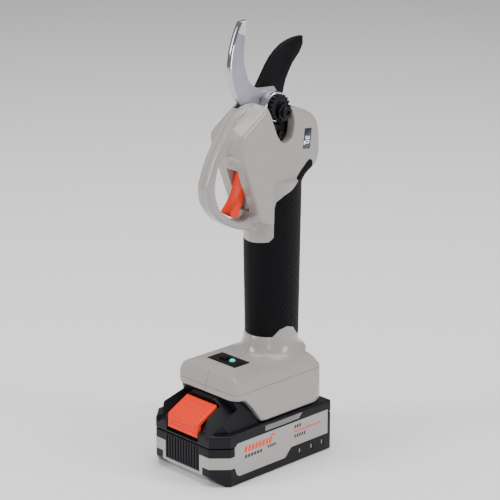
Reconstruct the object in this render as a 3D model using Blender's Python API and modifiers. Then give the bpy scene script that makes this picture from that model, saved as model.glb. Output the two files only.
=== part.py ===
"""Battery electric pruner: a one-handed cordless shear that stands on its slide-on battery.

Frame: origin at the centre of the battery's underside, +Z up along the handle, -Y towards the
trigger and the battery latch, +X towards the side with the blade nut and the display.
Sizes here are millimetres. The helpers turn them to metres when they make a mesh.
An outline seen from the side is a list of (Y, Z) points, one seen from above is (X, Y).
"""

import math

import bmesh
import bpy
from mathutils import Matrix, Vector

MM = 0.001
GAP = 0.3                      # clearance left between neighbouring solids

# Driving dimensions
PIVOT = (31.5, 269.0)          # (Y, Z) of the blade bolt, whose axis runs along X
DRIVE_Y = PIVOT[0]             # the motor and gearbox line meets the bolt's axis
TRIGGER_AXIS = (5.0, 229.0)
HANDLE_Y = 33.7
HANDLE_HALF = (20.5, 23.0)     # half-axes of the handle's oval at full width
HANDLE_TAPER = 0.00066         # share of the width gained for each millimetre of height
GRIP_THICKNESS = 2.3
HEAD_HALF = 16.5
RIM_HALF = 6.5
SLAB_HALF = 9.5                # half-width of the space for the blade tails
SPLIT_HALF = 0.15              # each housing half stops this far from the middle plane
BATTERY_HALF = 40.1
BATTERY_FRONT = -59.1
BATTERY_REAR = 59.1
BATTERY_SPLIT_Z = 30.0
DECK_Z = 40.0
FOOT_TOP_Z = 80.0
FOOT_LOW_Z = 41.2
POST_R = 4.7                   # the posts inside the housing that the screws pass through
SCREW_PLACES = ((59.5, 228.5), (2.0, 259.0), (13.2, 199.0), (-25.0, 69.5), (38.5, 62.5))
SCREW_HALVES = (16.5, 16.5, 16.5, 29.5, 31.5)   # half the housing's width at each screw

# Blades
MOVING_X = (-8.4, -4.6)
FIXED_X = (-4.3, -0.3)
SECTOR_X = (-8.3, -6.1)        # the thinner tail that carries the face teeth
TOOTH_TOP_X = -3.8
HUB_R = 10.8
BOLT_HOLE_R = 4.5
SECTOR_INNER_R = 20.3
SECTOR_OUTER_R = 24.6
SECTOR_START = -161.0
SECTOR_END = -82.8

# Gear train: the sector counts as a 40-tooth face gear, and the planetary stage divides by 4.5
PINION_TEETH = 8
SECTOR_TEETH_IN_FULL_TURN = 40
PINION_MODULE = 1.15
PLANET_MODULE = 0.55
SUN_TEETH = 12
PLANET_TEETH = 15
RING_TEETH = SUN_TEETH + 2 * PLANET_TEETH
PLANET_ORBIT = PLANET_MODULE * (SUN_TEETH + PLANET_TEETH) / 2
PINION_Z = (242.6, 247.8)
GEAR_Z = (184.0, 193.0)

TURN = {
    "X": Matrix(((0, 0, 1, 0), (1, 0, 0, 0), (0, 1, 0, 0), (0, 0, 0, 1))),
    "Y": Matrix(((1, 0, 0, 0), (0, 0, -1, 0), (0, 1, 0, 0), (0, 0, 0, 1))),
    "Z": Matrix.Identity(4),
}

for old in list(bpy.data.objects):
    bpy.data.objects.remove(old)


def collection(name):
    made = bpy.data.collections.new(name)
    bpy.context.scene.collection.children.link(made)
    return made


PARTS = collection("battery_electric_pruner")
CUTTERS = collection("cutters")


def material(name, colour, roughness, metallic=0.0, alpha=1.0, glow=0.0):
    made = bpy.data.materials.new(name)
    made.use_nodes = True
    shader = made.node_tree.nodes["Principled BSDF"]
    shader.inputs["Base Color"].default_value = (*colour, 1.0)
    shader.inputs["Roughness"].default_value = roughness
    shader.inputs["Metallic"].default_value = metallic
    shader.inputs["Alpha"].default_value = alpha
    shader.inputs["Emission Color"].default_value = (*colour, 1.0)
    shader.inputs["Emission Strength"].default_value = glow
    made.diffuse_color = (*colour, 1.0)
    return made


GREY = material("grey_housing_plastic", (0.40, 0.37, 0.36), 0.28)
BLACK = material("black_case_plastic", (0.010, 0.010, 0.014), 0.42)
RUBBER = material("grip_rubber", (0.006, 0.006, 0.009), 0.62)
ORANGE = material("orange_plastic", (1.0, 0.075, 0.002), 0.35)
STEEL = material("polished_blade_steel", (0.55, 0.54, 0.60), 0.22, 1.0)
COATED = material("black_coated_steel", (0.005, 0.005, 0.007), 0.40, 0.6)
DARK_STEEL = material("blackened_steel", (0.02, 0.02, 0.022), 0.38, 0.9)
ALUMINIUM = material("gearbox_aluminium", (0.62, 0.62, 0.64), 0.35, 1.0)
GEAR_STEEL = material("gear_steel", (0.35, 0.35, 0.36), 0.32, 1.0)
COPPER = material("rotor_copper", (0.60, 0.26, 0.12), 0.40, 0.8)
BOARD = material("circuit_board", (0.01, 0.10, 0.03), 0.45)
CELL = material("cell_sleeve", (0.02, 0.12, 0.35), 0.40)
LENS = material("display_lens", (0.05, 0.06, 0.08), 0.10)
TEAL = material("status_light", (0.04, 0.72, 0.62), 0.25, glow=1.0)
SMOKED = material("gauge_window", (0.10, 0.10, 0.11), 0.20)


def add_object(name, mesh, finish=None):
    """An object in the parts, or among the cutters when it has no finish."""
    made = bpy.data.objects.new(name, mesh)
    if finish is None:
        CUTTERS.objects.link(made)
        made.hide_render = True
        made.display_type = "WIRE"
    else:
        PARTS.objects.link(made)
        mesh.materials.append(finish)
    return made


def finish_bmesh(name, shape, finish):
    bmesh.ops.recalc_face_normals(shape, faces=shape.faces)
    mesh = bpy.data.meshes.new(name)
    shape.to_mesh(mesh)
    shape.free()
    return add_object(name, mesh, finish)


def block(name, low, high, finish=None):
    """A box between two corners."""
    shape = bmesh.new()
    bmesh.ops.create_cube(shape, size=1.0)
    size = [(b - a) * MM for a, b in zip(low, high)]
    middle = [(a + b) / 2 * MM for a, b in zip(low, high)]
    bmesh.ops.scale(shape, vec=size, verts=shape.verts)
    bmesh.ops.translate(shape, vec=middle, verts=shape.verts)
    return finish_bmesh(name, shape, finish)


def rod(name, axis, centre, radius, low, high, finish=None, sides=28, end_radius=None, oval=(1, 1)):
    """A cylinder or cone along an axis, from low to high, centred on the two other coordinates."""
    shape = bmesh.new()
    top = radius if end_radius is None else end_radius
    bmesh.ops.create_cone(shape, cap_ends=True, segments=sides, radius1=radius * MM,
                          radius2=top * MM, depth=(high - low) * MM)
    bmesh.ops.scale(shape, vec=(oval[0], oval[1], 1), verts=shape.verts)
    shift = Vector((centre[0] * MM, centre[1] * MM, (low + high) / 2 * MM))
    if axis == "Y":
        shift.z = -shift.z
    bmesh.ops.transform(shape, matrix=TURN[axis] @ Matrix.Translation(shift), verts=shape.verts)
    return finish_bmesh(name, shape, finish)


def plate(name, outline, low, high, finish=None, axis="X", holes=()):
    """A flat outline given thickness along an axis, made as a filled 2D curve and then a mesh."""
    curve = bpy.data.curves.new(name, "CURVE")
    curve.dimensions = "2D"
    curve.fill_mode = "BOTH"
    curve.extrude = (high - low) / 2 * MM
    for loop in (outline, *holes):
        spline = curve.splines.new("POLY")
        spline.points.add(len(loop) - 1)
        for point, (across, up) in zip(spline.points, loop):
            point.co = (across * MM, up * MM, 0, 1)
        spline.use_cyclic_u = True
    drawn = bpy.data.objects.new(name, curve)
    bpy.context.scene.collection.objects.link(drawn)
    middle = (low + high) / 2 * MM * (-1 if axis == "Y" else 1)
    drawn.matrix_world = TURN[axis] @ Matrix.Translation((0, 0, middle))
    bpy.context.view_layer.update()
    seen = drawn.evaluated_get(bpy.context.evaluated_depsgraph_get())
    mesh = bpy.data.meshes.new_from_object(seen)
    shape = bmesh.new()
    shape.from_mesh(mesh)
    bmesh.ops.remove_doubles(shape, verts=shape.verts, dist=1e-6)
    bmesh.ops.transform(shape, matrix=drawn.matrix_world, verts=shape.verts)
    bpy.data.objects.remove(drawn)
    bpy.data.meshes.remove(mesh)
    return finish_bmesh(name, shape, finish)


def turned(name, profile, axis, centre, finish=None, steps=32):
    """A closed (radius, height) profile turned about an axis. It runs down its outer side."""
    mesh = bpy.data.meshes.new(name)
    points = [(radius * MM, 0, height * MM) for radius, height in profile]
    edges = [(i, (i + 1) % len(points)) for i in range(len(points))]
    mesh.from_pydata(points, edges, [])
    made = add_object(name, mesh, finish)
    screw = made.modifiers.new("turn", "SCREW")
    screw.axis = "Z"
    screw.steps = steps
    screw.render_steps = steps
    screw.use_merge_vertices = True
    screw.merge_threshold = 1e-5
    made.matrix_world = TURN[axis] @ Matrix.Translation((centre[0] * MM, centre[1] * MM, 0))
    return made


def combine(target, operation, *others):
    for other in others:
        step = target.modifiers.new(operation.lower(), "BOOLEAN")
        step.operation = operation
        step.solver = "EXACT"
        step.object = other
    return target


def cut(target, *others):
    return combine(target, "DIFFERENCE", *others)


def join(target, *others):
    return combine(target, "UNION", *others)


def common(target, *others):
    return combine(target, "INTERSECT", *others)


def soften(target, width, segments=1, angle=40):
    bevel = target.modifiers.new("soften", "BEVEL")
    bevel.width = width * MM
    bevel.segments = segments
    bevel.limit_method = "ANGLE"
    bevel.angle_limit = math.radians(angle)
    return target


def put_origin(target, point):
    """Moves the object's origin to a point without moving its shape."""
    place = Vector(point) * MM
    target.data.transform(Matrix.Translation(-place))
    target.location = target.location + place
    return target


def arc(centre, radius, start, end, steps):
    """Points on an arc in degrees, both ends included."""
    turns = [math.radians(start + (end - start) * i / steps) for i in range(steps + 1)]
    return [(centre[0] + radius * math.cos(a), centre[1] + radius * math.sin(a)) for a in turns]


def circle(centre, radius, steps=24):
    return arc(centre, radius, 0, 360 - 360 / steps, steps - 1)


def smooth_through(points, steps=3):
    """An open Catmull-Rom curve through the points."""
    ends = [points[0], *points, points[-1]]
    found = []
    for a, b, c, d in zip(ends, ends[1:], ends[2:], ends[3:]):
        for i in range(steps):
            t = i / steps
            found.append(tuple(
                0.5 * (2 * q + (r - p) * t + (2 * p - 5 * q + 4 * r - s) * t * t
                       + (3 * q - p - 3 * r + s) * t ** 3)
                for p, q, r, s in zip(a, b, c, d)))
    return found + [points[-1]]


def inset_loop(points, distance):
    """A counter-clockwise outline moved inwards by a distance, corner by corner."""
    moved = []
    for before, here, after in zip(points[-1:] + points[:-1], points, points[1:] + points[:1]):
        ins = Vector(here) - Vector(before)
        outs = Vector(after) - Vector(here)
        normals = [Vector((-side.y, side.x)).normalized() for side in (ins, outs)]
        bisector = (normals[0] + normals[1]).normalized()
        moved.append(tuple(Vector(here) + bisector * distance / bisector.dot(normals[0])))
    return moved


def gear_outline(centre, teeth, module, turn=0.0, inside=False):
    """Four points a tooth. Teeth are thin, which leaves the backlash that faceted gears need."""
    pitch_r = module * teeth / 2
    tall = -0.8 if inside else 0.8
    short = -1.15 if inside else 1.15
    share = 360 / teeth
    found = []
    for tooth in range(teeth):
        middle = turn + tooth * share
        for offset, radius in ((-0.27, pitch_r - short * module), (-0.10, pitch_r + tall * module),
                               (0.10, pitch_r + tall * module), (0.27, pitch_r - short * module)):
            angle = math.radians(middle + offset * share)
            found.append((centre[0] + radius * math.cos(angle), centre[1] + radius * math.sin(angle)))
    return found


# ---------------------------------------------------------------- housing outlines

NOTCH = ([(12.8, 280.0), (13.6, 273.0), (16.0, 269.0), (18.5, 262.0), (20.7, 257.0), (23.4, 250.5)]
         + arc((32.2, 250.6), 7.2, 205, 330, 6)
         + [(39.8, 251.0), (40.6, 257.5), (40.3, 262.0), (38.0, 268.0), (37.4, 280.0)])

HEAD = [(9.2, 270.0), (-13.2, 254.7), (-14.3, 251.0), (-12.8, 243.8), (-11.2, 236.0), (-7.4, 227.0),
        (-3.2, 215.6), (1.2, 204.5), (4.2, 196.5), (5.6, 190.0), (12.0, 184.5), (24.0, 181.0),
        (44.0, 180.0), (47.2, 198.0), (48.0, 205.2), (49.4, 209.7), (52.0, 213.6), (56.5, 217.2),
        (62.8, 220.4), (66.4, 224.4), (67.8, 230.0), (68.0, 238.0), (67.4, 246.0), (66.0, 253.0),
        (63.6, 257.4), (59.6, 261.4), (54.0, 264.7), (48.3, 267.0), (37.4, 270.0), (12.8, 274.6)]

GUARD_OUTER = smooth_through([(5.0, 274.6), (-4.8, 271.0), (-12.7, 263.0), (-19.7, 253.0),
                              (-28.6, 240.0), (-35.0, 225.0), (-36.9, 216.0), (-34.0, 204.0),
                              (-24.0, 192.0), (-10.0, 184.0), (0.0, 180.6), (9.0, 179.2), (16.0, 178.7)], 2)
FINGER_HOLE = smooth_through([(-18.5, 240.6), (-23.5, 238.5), (-27.3, 231.0), (-29.8, 217.0),
                              (-26.0, 203.0), (-18.0, 195.0), (-8.0, 189.3), (1.0, 188.6),
                              (9.5, 193.5), (8.0, 205.0), (4.0, 215.6), (-1.0, 226.6),
                              (-7.0, 236.0), (-12.5, 239.6)], 2)
GRIP_LOOP = ([(4.0, 94.0), (20.0, 94.0), (25.0, 99.5), (31.0, 101.2), (38.0, 99.0), (44.0, 91.5),
              (62.0, 89.0), (62.0, 206.0), (59.0, 212.5), (60.2, 218.0)]
             + arc((56.6, 223.2), 3.4, 0, 130, 3)
             + [(46.5, 219.0), (41.3, 213.2), (34.9, 208.4), (26.4, 204.6), (21.2, 200.6),
                (19.8, 196.0), (19.8, 173.0), (17.0, 169.6), (4.0, 166.8)])
FOOT_SIDE = [(-12.0, FOOT_LOW_Z), (54.5, FOOT_LOW_Z), (56.0, 46.0), (56.5, 60.0), (55.0, 68.0),
             (46.0, FOOT_TOP_Z), (-21.0, FOOT_TOP_Z), (-31.2, 77.6), (-36.0, 61.0), (-25.0, 60.4),
             (-19.0, 53.0)]
FOOT_FRONT = [(37.0, 38.0), (36.8, 44.0), (30.0, 74.6), (27.8, 77.4), (16.0, 80.3)]
FOOT_FRONT = [(-x, z) for x, z in FOOT_FRONT] + FOOT_FRONT[::-1]
FOOT_PLAN = [(25.7, -36.5), (31.0, -33.0), (34.6, -22.0), (37.0, -8.0), (37.0, 44.5), (33.5, 52.5),
             (28.5, 57.0)]
FOOT_PLAN += [(-x, y) for x, y in reversed(FOOT_PLAN)]


def handle(name, shrink, low=78.0, high=214.0):
    """The oval handle, a little narrower towards the foot. Shrink is taken off all round."""
    half = (HANDLE_HALF[0] - shrink, HANDLE_HALF[1] - shrink)
    shares = [0.93 + HANDLE_TAPER * (z - 78.0) for z in (low, high)]
    return rod(name, "Z", (0, HANDLE_Y), shares[0], low, high, end_radius=shares[1], oval=half, sides=32)


def head_cavity(name):
    """The inside of the head: a middle slab for the blade tails, pockets each side, the bore."""
    slab = [(9.0, 264.5), (-8.4, 252.3), (-8.7, 246.0), (-5.0, 238.5), (17.5, 238.5), (17.5, 214.0),
            (46.0, 214.0), (50.0, 216.6), (56.0, 220.4), (62.6, 224.4), (65.2, 231.0), (65.4, 238.0),
            (64.8, 246.0), (63.4, 252.0), (60.8, 256.8), (57.6, 261.0), (53.0, 263.4), (45.0, 266.4),
            (39.0, 267.4), (17.0, 267.4)]
    front = [(-8.4, 252.0), (-7.9, 244.0), (-4.0, 239.4), (12.0, 239.0), (17.5, 246.0),
             (13.5, 256.0), (8.8, 264.4)]
    rear = [(46.0, 218.5), (50.0, 219.0), (56.0, 222.4), (62.4, 226.0), (64.8, 232.0), (65.0, 238.0),
            (64.4, 246.0), (62.8, 251.0), (58.0, 256.4), (46.0, 262.0)]
    made = plate(name, slab, -SLAB_HALF, SLAB_HALF)
    join(made, plate(name + "_front", front, -14.1, 14.1), plate(name + "_rear", rear, -14.0, 14.0))
    for place, number in zip(SCREW_PLACES, "123"):
        cut(made, rod(f"{name}_post_{number}", "X", place, POST_R, -20, 20, sides=20))
    return made


def foot_solid():
    made = plate("foot_side", FOOT_SIDE, -40, 40)
    return common(made, plate("foot_front", FOOT_FRONT, -50, 60, axis="Y"),
                  plate("foot_plan", FOOT_PLAN, 30, 90, axis="Z"))


def foot_cavity():
    """Room for the electronics, less the two screw posts."""
    inside = [(-32.6, 63.0), (-22.0, 62.8), (-14.5, 54.5), (-10.0, 49.8), (53.0, 49.8),
              (53.0, 66.0), (44.0, 77.4), (-21.0, 77.4), (-29.4, 75.4)]
    plan = [(-23.0, -34.0), (23.0, -34.0), (29.8, -20.0), (29.8, 46.0), (25.0, 53.6), (-25.0, 53.6),
            (-29.8, 46.0), (-29.8, -20.0)]
    front = [(-29.6, 45.0), (29.6, 45.0), (29.6, 62.0), (26.8, 73.4), (24.8, 75.4), (14.0, 77.4),
             (-14.0, 77.4), (-24.8, 75.4), (-26.8, 73.4), (-29.6, 62.0)]
    made = plate("foot_cavity", inside, -40, 40)
    common(made, plate("foot_cavity_plan", plan, 30, 90, axis="Z"),
           plate("foot_cavity_front", front, -50, 60, axis="Y"))
    for place, number in zip(SCREW_PLACES[3:], "45"):
        cut(made, rod(f"foot_post_{number}", "X", place, POST_R, -40, 40, sides=20))
    return made


def flare(name, low, high, wide, narrow, centre_y, depth):
    """One cone of the concave sweep where the foot's top runs up into the handle."""
    return rod(name, "Z", (0, centre_y), wide, low, high, end_radius=narrow, oval=(1, depth), sides=32)


def display_box(name, grow, low, high):
    """The display's tilted rectangle on the +X side."""
    lean = math.radians(-7.6)
    corners = [(a * (3.5 + grow), b * (7.5 + grow)) for a, b in ((-1, -1), (1, -1), (1, 1), (-1, 1))]
    turned_corners = [(54 + y * math.cos(lean) + z * math.sin(lean) * -1,
                       243 + y * math.sin(lean) + z * math.cos(lean)) for y, z in corners]
    return name, turned_corners, low, high


def housing_shape():
    """Both housing halves as one hollow solid, before it is split along the middle plane."""
    head = plate("head_body", HEAD, -HEAD_HALF, HEAD_HALF)
    rim = plate("guard_rim", GUARD_OUTER + [(22.0, 178.6), (22.0, 274.0)], -RIM_HALF, RIM_HALF,
                holes=[FINGER_HOLE])
    foot = join(foot_solid(), flare("flare_low", 77.0, 82.3, 25.5, 21.9, 31.0, 0.96),
                flare("flare_high", 81.7, 89.5, 21.5, 18.9, 33.0, 1.08))
    shape = join(head, handle("handle_outside", 0.0, 86.0), rim, foot)
    grip_room = plate("grip_room", GRIP_LOOP, -30, 30)
    cut(grip_room, handle("under_grip", GRIP_THICKNESS + GAP, 70, 222),
        plate("under_grip_head", [(30, 196), (80, 196), (80, 240), (30, 240)], -14.2, 14.2))
    cut(shape, grip_room)
    cut(shape, head_cavity("head_cavity"), foot_cavity())
    cut(shape, rod("motor_bore", "Z", (0, DRIVE_Y), 15.6, 70, 214.5, sides=32))
    cut(shape, plate("notch", NOTCH, -20, 20))
    cut(shape, rod("pivot_pocket", "X", PIVOT, 11.6, -14.2, 14.2))
    cut(shape, plate("fixed_blade_slot", [(-2.5, 280), (-2.2, 272.2), (1.9, 264.7), (8.0, 261.9),
                                          (18, 258), (25, 270), (25, 280)], -4.7, 0.4))
    cut(shape, plate("moving_blade_slot", [(6.0, 281), (7.0, 262), (20, 258), (49.6, 261), (50.5, 281)],
                     -8.8, -4.2))
    cut(shape, plate("trigger_slot", [(-16, 227.4), (-2.2, 227.4), (-2.8, 236.6), (14, 236.6), (18.5, 233),
                                      (18.5, 216), (15.5, 205.5), (9.5, 203.5), (9.0, 194.0),
                                      (-6, 194.0)], -5.8, 5.8))
    cut(shape, rod("trigger_pin_hole", "X", TRIGGER_AXIS, 2.1, -11.4, 11.4, sides=16))
    cut(shape, block("rail_flange_room", (-22.4, -30, 47.5), (22.4, 52.2, 56.4)))
    cut(shape, block("rail_neck_room", (-18.5, -30, 38), (18.5, 52.2, 48.5)))
    cut(shape, block("switch_room", (-15.3, -19.5, 70), (15.3, -3.5, 90)))
    return shape


def screw_holes(name, place, half):
    """Clearance through the left half with a counterbore, and a pilot hole in the right half."""
    return (rod(name, "X", place, 1.8, -half - 8, 9.5, sides=12),
            rod(name + "_head", "X", place, 3.5, -half - 9, 4.0 - half, sides=16))


def housing_halves(shape):
    """The two clamshell halves. The head of each screw sits in the left one."""
    holes = [hole for number, (place, half) in enumerate(zip(SCREW_PLACES, SCREW_HALVES), 1)
             for hole in screw_holes(f"screw_hole_{number}", place, half)]
    right = shape.copy()
    right.data = shape.data.copy()
    left = shape.copy()
    left.data = shape.data.copy()
    for made, name, low, high in ((right, "right_housing", SPLIT_HALF, 60),
                                  (left, "left_housing", -60, -SPLIT_HALF)):
        made.name = name
        made.data.materials.append(GREY)
        PARTS.objects.link(made)
        made.hide_render = False
        made.display_type = "TEXTURED"
        common(made, block(name + "_side", (low, -70, 30), (high, 90, 300)))
        cut(made, *holes)
    name, corners, low, high = display_box("display_hole", 0.3, 12.0, 20.0)
    cut(right, plate(name, corners, low, high))


def screws(name, places):
    """Pan-head screws that go in from the left side."""
    for number, (place, half) in enumerate(places, 1):
        seat = 3.7 - half
        made = rod(f"{name}_{number}", "X", place, 1.5, seat - 0.2, 9.0, DARK_STEEL, sides=10)
        join(made, rod(f"{name}_{number}_head", "X", place, 3.2, seat - 2.4, seat, sides=14))
        cut(made, block(f"{name}_{number}_drive", (seat - 4, place[0] - 1.0, place[1] - 1.0),
                        (seat - 1.4, place[0] + 1.0, place[1] + 1.0)))


# ---------------------------------------------------------------- grip

def grips():
    """Two soft overmoulded pads, one on each half, following the handle and the back of the head."""
    body = plate("grip_head", HEAD, -HEAD_HALF, HEAD_HALF)
    join(body, handle("grip_outside", 0.0))
    cut(body, handle("grip_inside", GRIP_THICKNESS, 60, 224),
        plate("grip_inside_head", [(28, 194), (80, 194), (80, 240), (28, 240)], -14.5, 14.5))
    common(body, plate("grip_area", inset_loop(GRIP_LOOP, GAP), -30, 30))
    for name, low, high in (("right_grip", SPLIT_HALF, 60), ("left_grip", -60, -SPLIT_HALF)):
        made = body.copy()
        made.data = body.data.copy()
        made.name = name
        made.data.materials.append(RUBBER)
        PARTS.objects.link(made)
        made.hide_render = False
        made.display_type = "TEXTURED"
        common(made, block(name + "_side", (low, -70, 30), (high, 90, 300)))


# ---------------------------------------------------------------- blades and their bolt

def fixed_blade():
    """The hooked counter blade, bolted to the bracket, with its hub behind the moving blade's."""
    back = smooth_through([(2.4, 335.2), (-1.2, 329.4), (-5.8, 317.5), (-8.4, 303.0), (-7.0, 290.5),
                           (-2.2, 279.0), (5.4, 265.6)], 2)
    inner = smooth_through([(18.0, 284.4), (11.0, 289.5), (6.6, 300.0), (5.2, 310.0), (6.4, 325.0),
                            (9.0, 335.7)], 2)
    outline = (back + [(8.4, 262.6), (14.6, 262.7), (17.0, 260.0), (21.5, 259.5)]
               + arc(PIVOT, HUB_R, 235, 395, 10) + [(38.5, 279.0), (35.6, 283.0)] + inner)
    made = plate("fixed_blade", outline, *FIXED_X, STEEL, holes=[circle(PIVOT, BOLT_HOLE_R)])
    return cut(made, rod("fixed_blade_screw_hole", "X", (18.6, 263.6), 1.8, -10, 10, sides=12))


def moving_blade():
    """The cutting blade. Its tail is a sector of a face gear that the pinion turns."""
    rear = smooth_through([(69.8, 309.0), (65.9, 302.6), (59.0, 296.0), (52.0, 284.5), (49.5, 276.0)], 2)
    cutting = smooth_through([(22.0, 281.5), (28.4, 291.0), (37.6, 303.0), (48.7, 311.0),
                              (60.0, 314.3), (69.7, 314.9)], 2)
    inner_r = SECTOR_INNER_R - 0.9
    outline = (rear + arc(PIVOT, HUB_R, -10, SECTOR_END + 24, 2)
               + arc(PIVOT, inner_r, SECTOR_END, SECTOR_START, 8)
               + arc(PIVOT, HUB_R, SECTOR_START - 20, -240, 3) + cutting)
    made = plate("moving_blade", outline, *MOVING_X, COATED, holes=[circle(PIVOT, BOLT_HOLE_R)])
    tail = (arc(PIVOT, SECTOR_OUTER_R, SECTOR_START, SECTOR_END - 3.2, 12)
            + arc(PIVOT, SECTOR_OUTER_R - 2.6, SECTOR_END - 0.1, SECTOR_END, 1)[1:]
            + arc(PIVOT, inner_r - 2.0, SECTOR_END, SECTOR_START, 8))
    join(made, plate("sector_tail", tail, *SECTOR_X))
    teeth = bmesh.new()
    step = 360 / SECTOR_TEETH_IN_FULL_TURN
    root_x = SECTOR_X[1] - 0.6
    length = SECTOR_OUTER_R - SECTOR_INNER_R - 0.5
    middle = ((TOOTH_TOP_X + root_x) / 2, SECTOR_INNER_R + length / 2, 0)
    for number in range(-8, 1):
        angle = -90 + step * (number + 0.5)
        found = bmesh.ops.create_cube(teeth, size=1.0)["verts"]
        bmesh.ops.scale(teeth, vec=(TOOTH_TOP_X - root_x, length, 1.3), verts=found)
        for vert in found:
            if vert.co.x > 0:
                vert.co.z *= 0.6
        bmesh.ops.translate(teeth, vec=middle, verts=found)
        bmesh.ops.rotate(teeth, cent=(0, 0, 0), verts=found,
                         matrix=Matrix.Rotation(math.radians(angle), 3, "X"))
    bmesh.ops.translate(teeth, vec=(0, PIVOT[0], PIVOT[1]), verts=teeth.verts)
    bmesh.ops.scale(teeth, vec=(MM, MM, MM), verts=teeth.verts)
    join(made, finish_bmesh("sector_teeth", teeth, None))
    return put_origin(made, (0, *PIVOT))


def pivot_group():
    """Bolt, spacer boss, serrated nut, and the plate and screw that lock the nut."""
    bolt = rod("pivot_bolt", "X", PIVOT, 4.2, -9.2, 11.6, DARK_STEEL, sides=24)
    join(bolt, rod("pivot_bolt_head", "X", PIVOT, 8.0, -12.4, -8.7, sides=6))
    ring = [(11.2, 7.2), (11.2, 0.0), (BOLT_HOLE_R, 0.0), (BOLT_HOLE_R, 7.2)]
    turned("pivot_boss", ring, "X", PIVOT, STEEL, steps=36)
    teeth = []
    for number in range(18):
        for offset, radius in ((-7, 9.0), (-4.5, 10.0), (4.5, 10.0), (7, 9.0)):
            angle = math.radians(20 * number + offset)
            teeth.append((PIVOT[0] + radius * math.cos(angle), PIVOT[1] + radius * math.sin(angle)))
    plate("pivot_nut", teeth, 7.5, 10.8, DARK_STEEL, holes=[circle(PIVOT, BOLT_HOLE_R, 20)])
    cap = (34.0, 265.6)
    wavy = [(cap[0] + (6.9 if k % 2 else 6.2) * math.cos(math.radians(k * 20)),
             cap[1] + (6.9 if k % 2 else 6.2) * math.sin(math.radians(k * 20))) for k in range(18)]
    plate("lock_plate", wavy, 12.0, 13.6, DARK_STEEL)
    head = rod("lock_screw", "X", cap, 4.6, 13.9, 15.9, DARK_STEEL, sides=24)
    soften(head, 0.5)


def head_bracket():
    """The black steel carrier that holds the fixed blade in front of the gearbox."""
    front = [(9.6, 262.5), (9.8, 259.0), (20.0, 250.2), (27.0, 250.2), (27.0, 256.6), (21.5, 259.2),
             (19.9, 263.0), (19.6, 266.2), (17.0, 266.2)]
    made = plate("head_bracket", front, 0.3, 9.1, DARK_STEEL)
    arm = [(18.0, 253.5), (22.5, 250.0), (24.5, 244.6), (27.0, 240.4), (36.0, 240.4), (37.6, 247.5),
           (36.5, 255.0), (27.0, 256.9), (21.0, 259.0)]
    join(made, plate("bracket_arm", arm, 6.3, 9.1))
    cut(made, rod("bracket_hole_low", "X", (32.4, 248.4), 1.8, 0, 20, sides=12),
        rod("bracket_hole_high", "X", (14.6, 260.6), 1.8, -1, 20, sides=12),
        rod("bracket_sink_high", "X", (14.6, 260.6), 2.9, 6.8, 20, sides=16))
    low = rod("bracket_screw_1", "X", (32.4, 248.4), 3.3, 9.4, 11.6, DARK_STEEL, sides=20)
    join(low, rod("bracket_screw_1_shank", "X", (32.4, 248.4), 1.5, 6.6, 9.6, sides=12))
    high = rod("bracket_screw_2", "X", (14.6, 260.6), 2.6, 7.1, 8.9, DARK_STEEL, sides=20)
    join(high, rod("bracket_screw_2_shank", "X", (14.6, 260.6), 1.5, 0.4, 7.4, sides=12))


# ---------------------------------------------------------------- gearbox and motor

def gearbox():
    case = [(9.1, 239.6), (9.1, 213.4), (15.2, 211.4), (15.2, 176.0), (13.8, 176.0), (13.8, 203.4),
            (9.3, 203.4), (9.3, 209.6), (5.2, 209.6), (5.2, 226.0), (7.9, 226.0), (7.9, 235.9),
            (5.0, 235.9), (5.0, 239.6)]
    turned("gear_case", case, "Z", (0, DRIVE_Y), ALUMINIUM)
    for name, outer, inner, low, high in (("rear_bearing", 9.0, 4.5, 203.8, 209.2),
                                          ("front_bearing", 7.6, 3.9, 226.4, 235.5)):
        loop = [(outer, high), (outer, low), (inner, low), (inner, high)]
        turned(name, loop, "Z", (0, DRIVE_Y), GEAR_STEEL, steps=28)
    centre = (0, DRIVE_Y)
    plate("ring_gear", circle(centre, 13.5, 32), GEAR_Z[0] - 3, GEAR_Z[1] + 2, GEAR_STEEL, axis="Z",
          holes=[gear_outline(centre, RING_TEETH, PLANET_MODULE, 90 + 180 / RING_TEETH, True)])
    carrier = rod("planet_carrier", "Z", centre, 10.6, GEAR_Z[1] + 4, GEAR_Z[1] + 7, GEAR_STEEL)
    for number in range(3):
        turn = math.radians(90 + 120 * number)
        place = (PLANET_ORBIT * math.cos(turn), DRIVE_Y + PLANET_ORBIT * math.sin(turn))
        join(carrier, rod(f"planet_pin_{number + 1}", "Z", place, 1.3, GEAR_Z[0] - 1.5, GEAR_Z[1] + 5,
                          sides=12))
        outline = gear_outline(place, PLANET_TEETH, PLANET_MODULE, math.degrees(turn))
        gear = plate(f"planet_gear_{number + 1}", outline, *GEAR_Z, GEAR_STEEL, axis="Z",
                     holes=[circle(place, 1.6, 12)])
        put_origin(gear, (place[0], place[1], GEAR_Z[0]))
    put_origin(carrier, (0, DRIVE_Y, GEAR_Z[1] + 4))
    shaft = rod("drive_shaft", "Z", centre, 4.2, GEAR_Z[1] + 7.3, 220, GEAR_STEEL, sides=20)
    join(shaft, rod("drive_shaft_neck", "Z", centre, 3.6, 219, PINION_Z[0] + 0.5, sides=20),
         plate("pinion_teeth", gear_outline(centre, PINION_TEETH, PINION_MODULE, 180), *PINION_Z, axis="Z"))
    put_origin(shaft, (0, DRIVE_Y, PINION_Z[0]))


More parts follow.
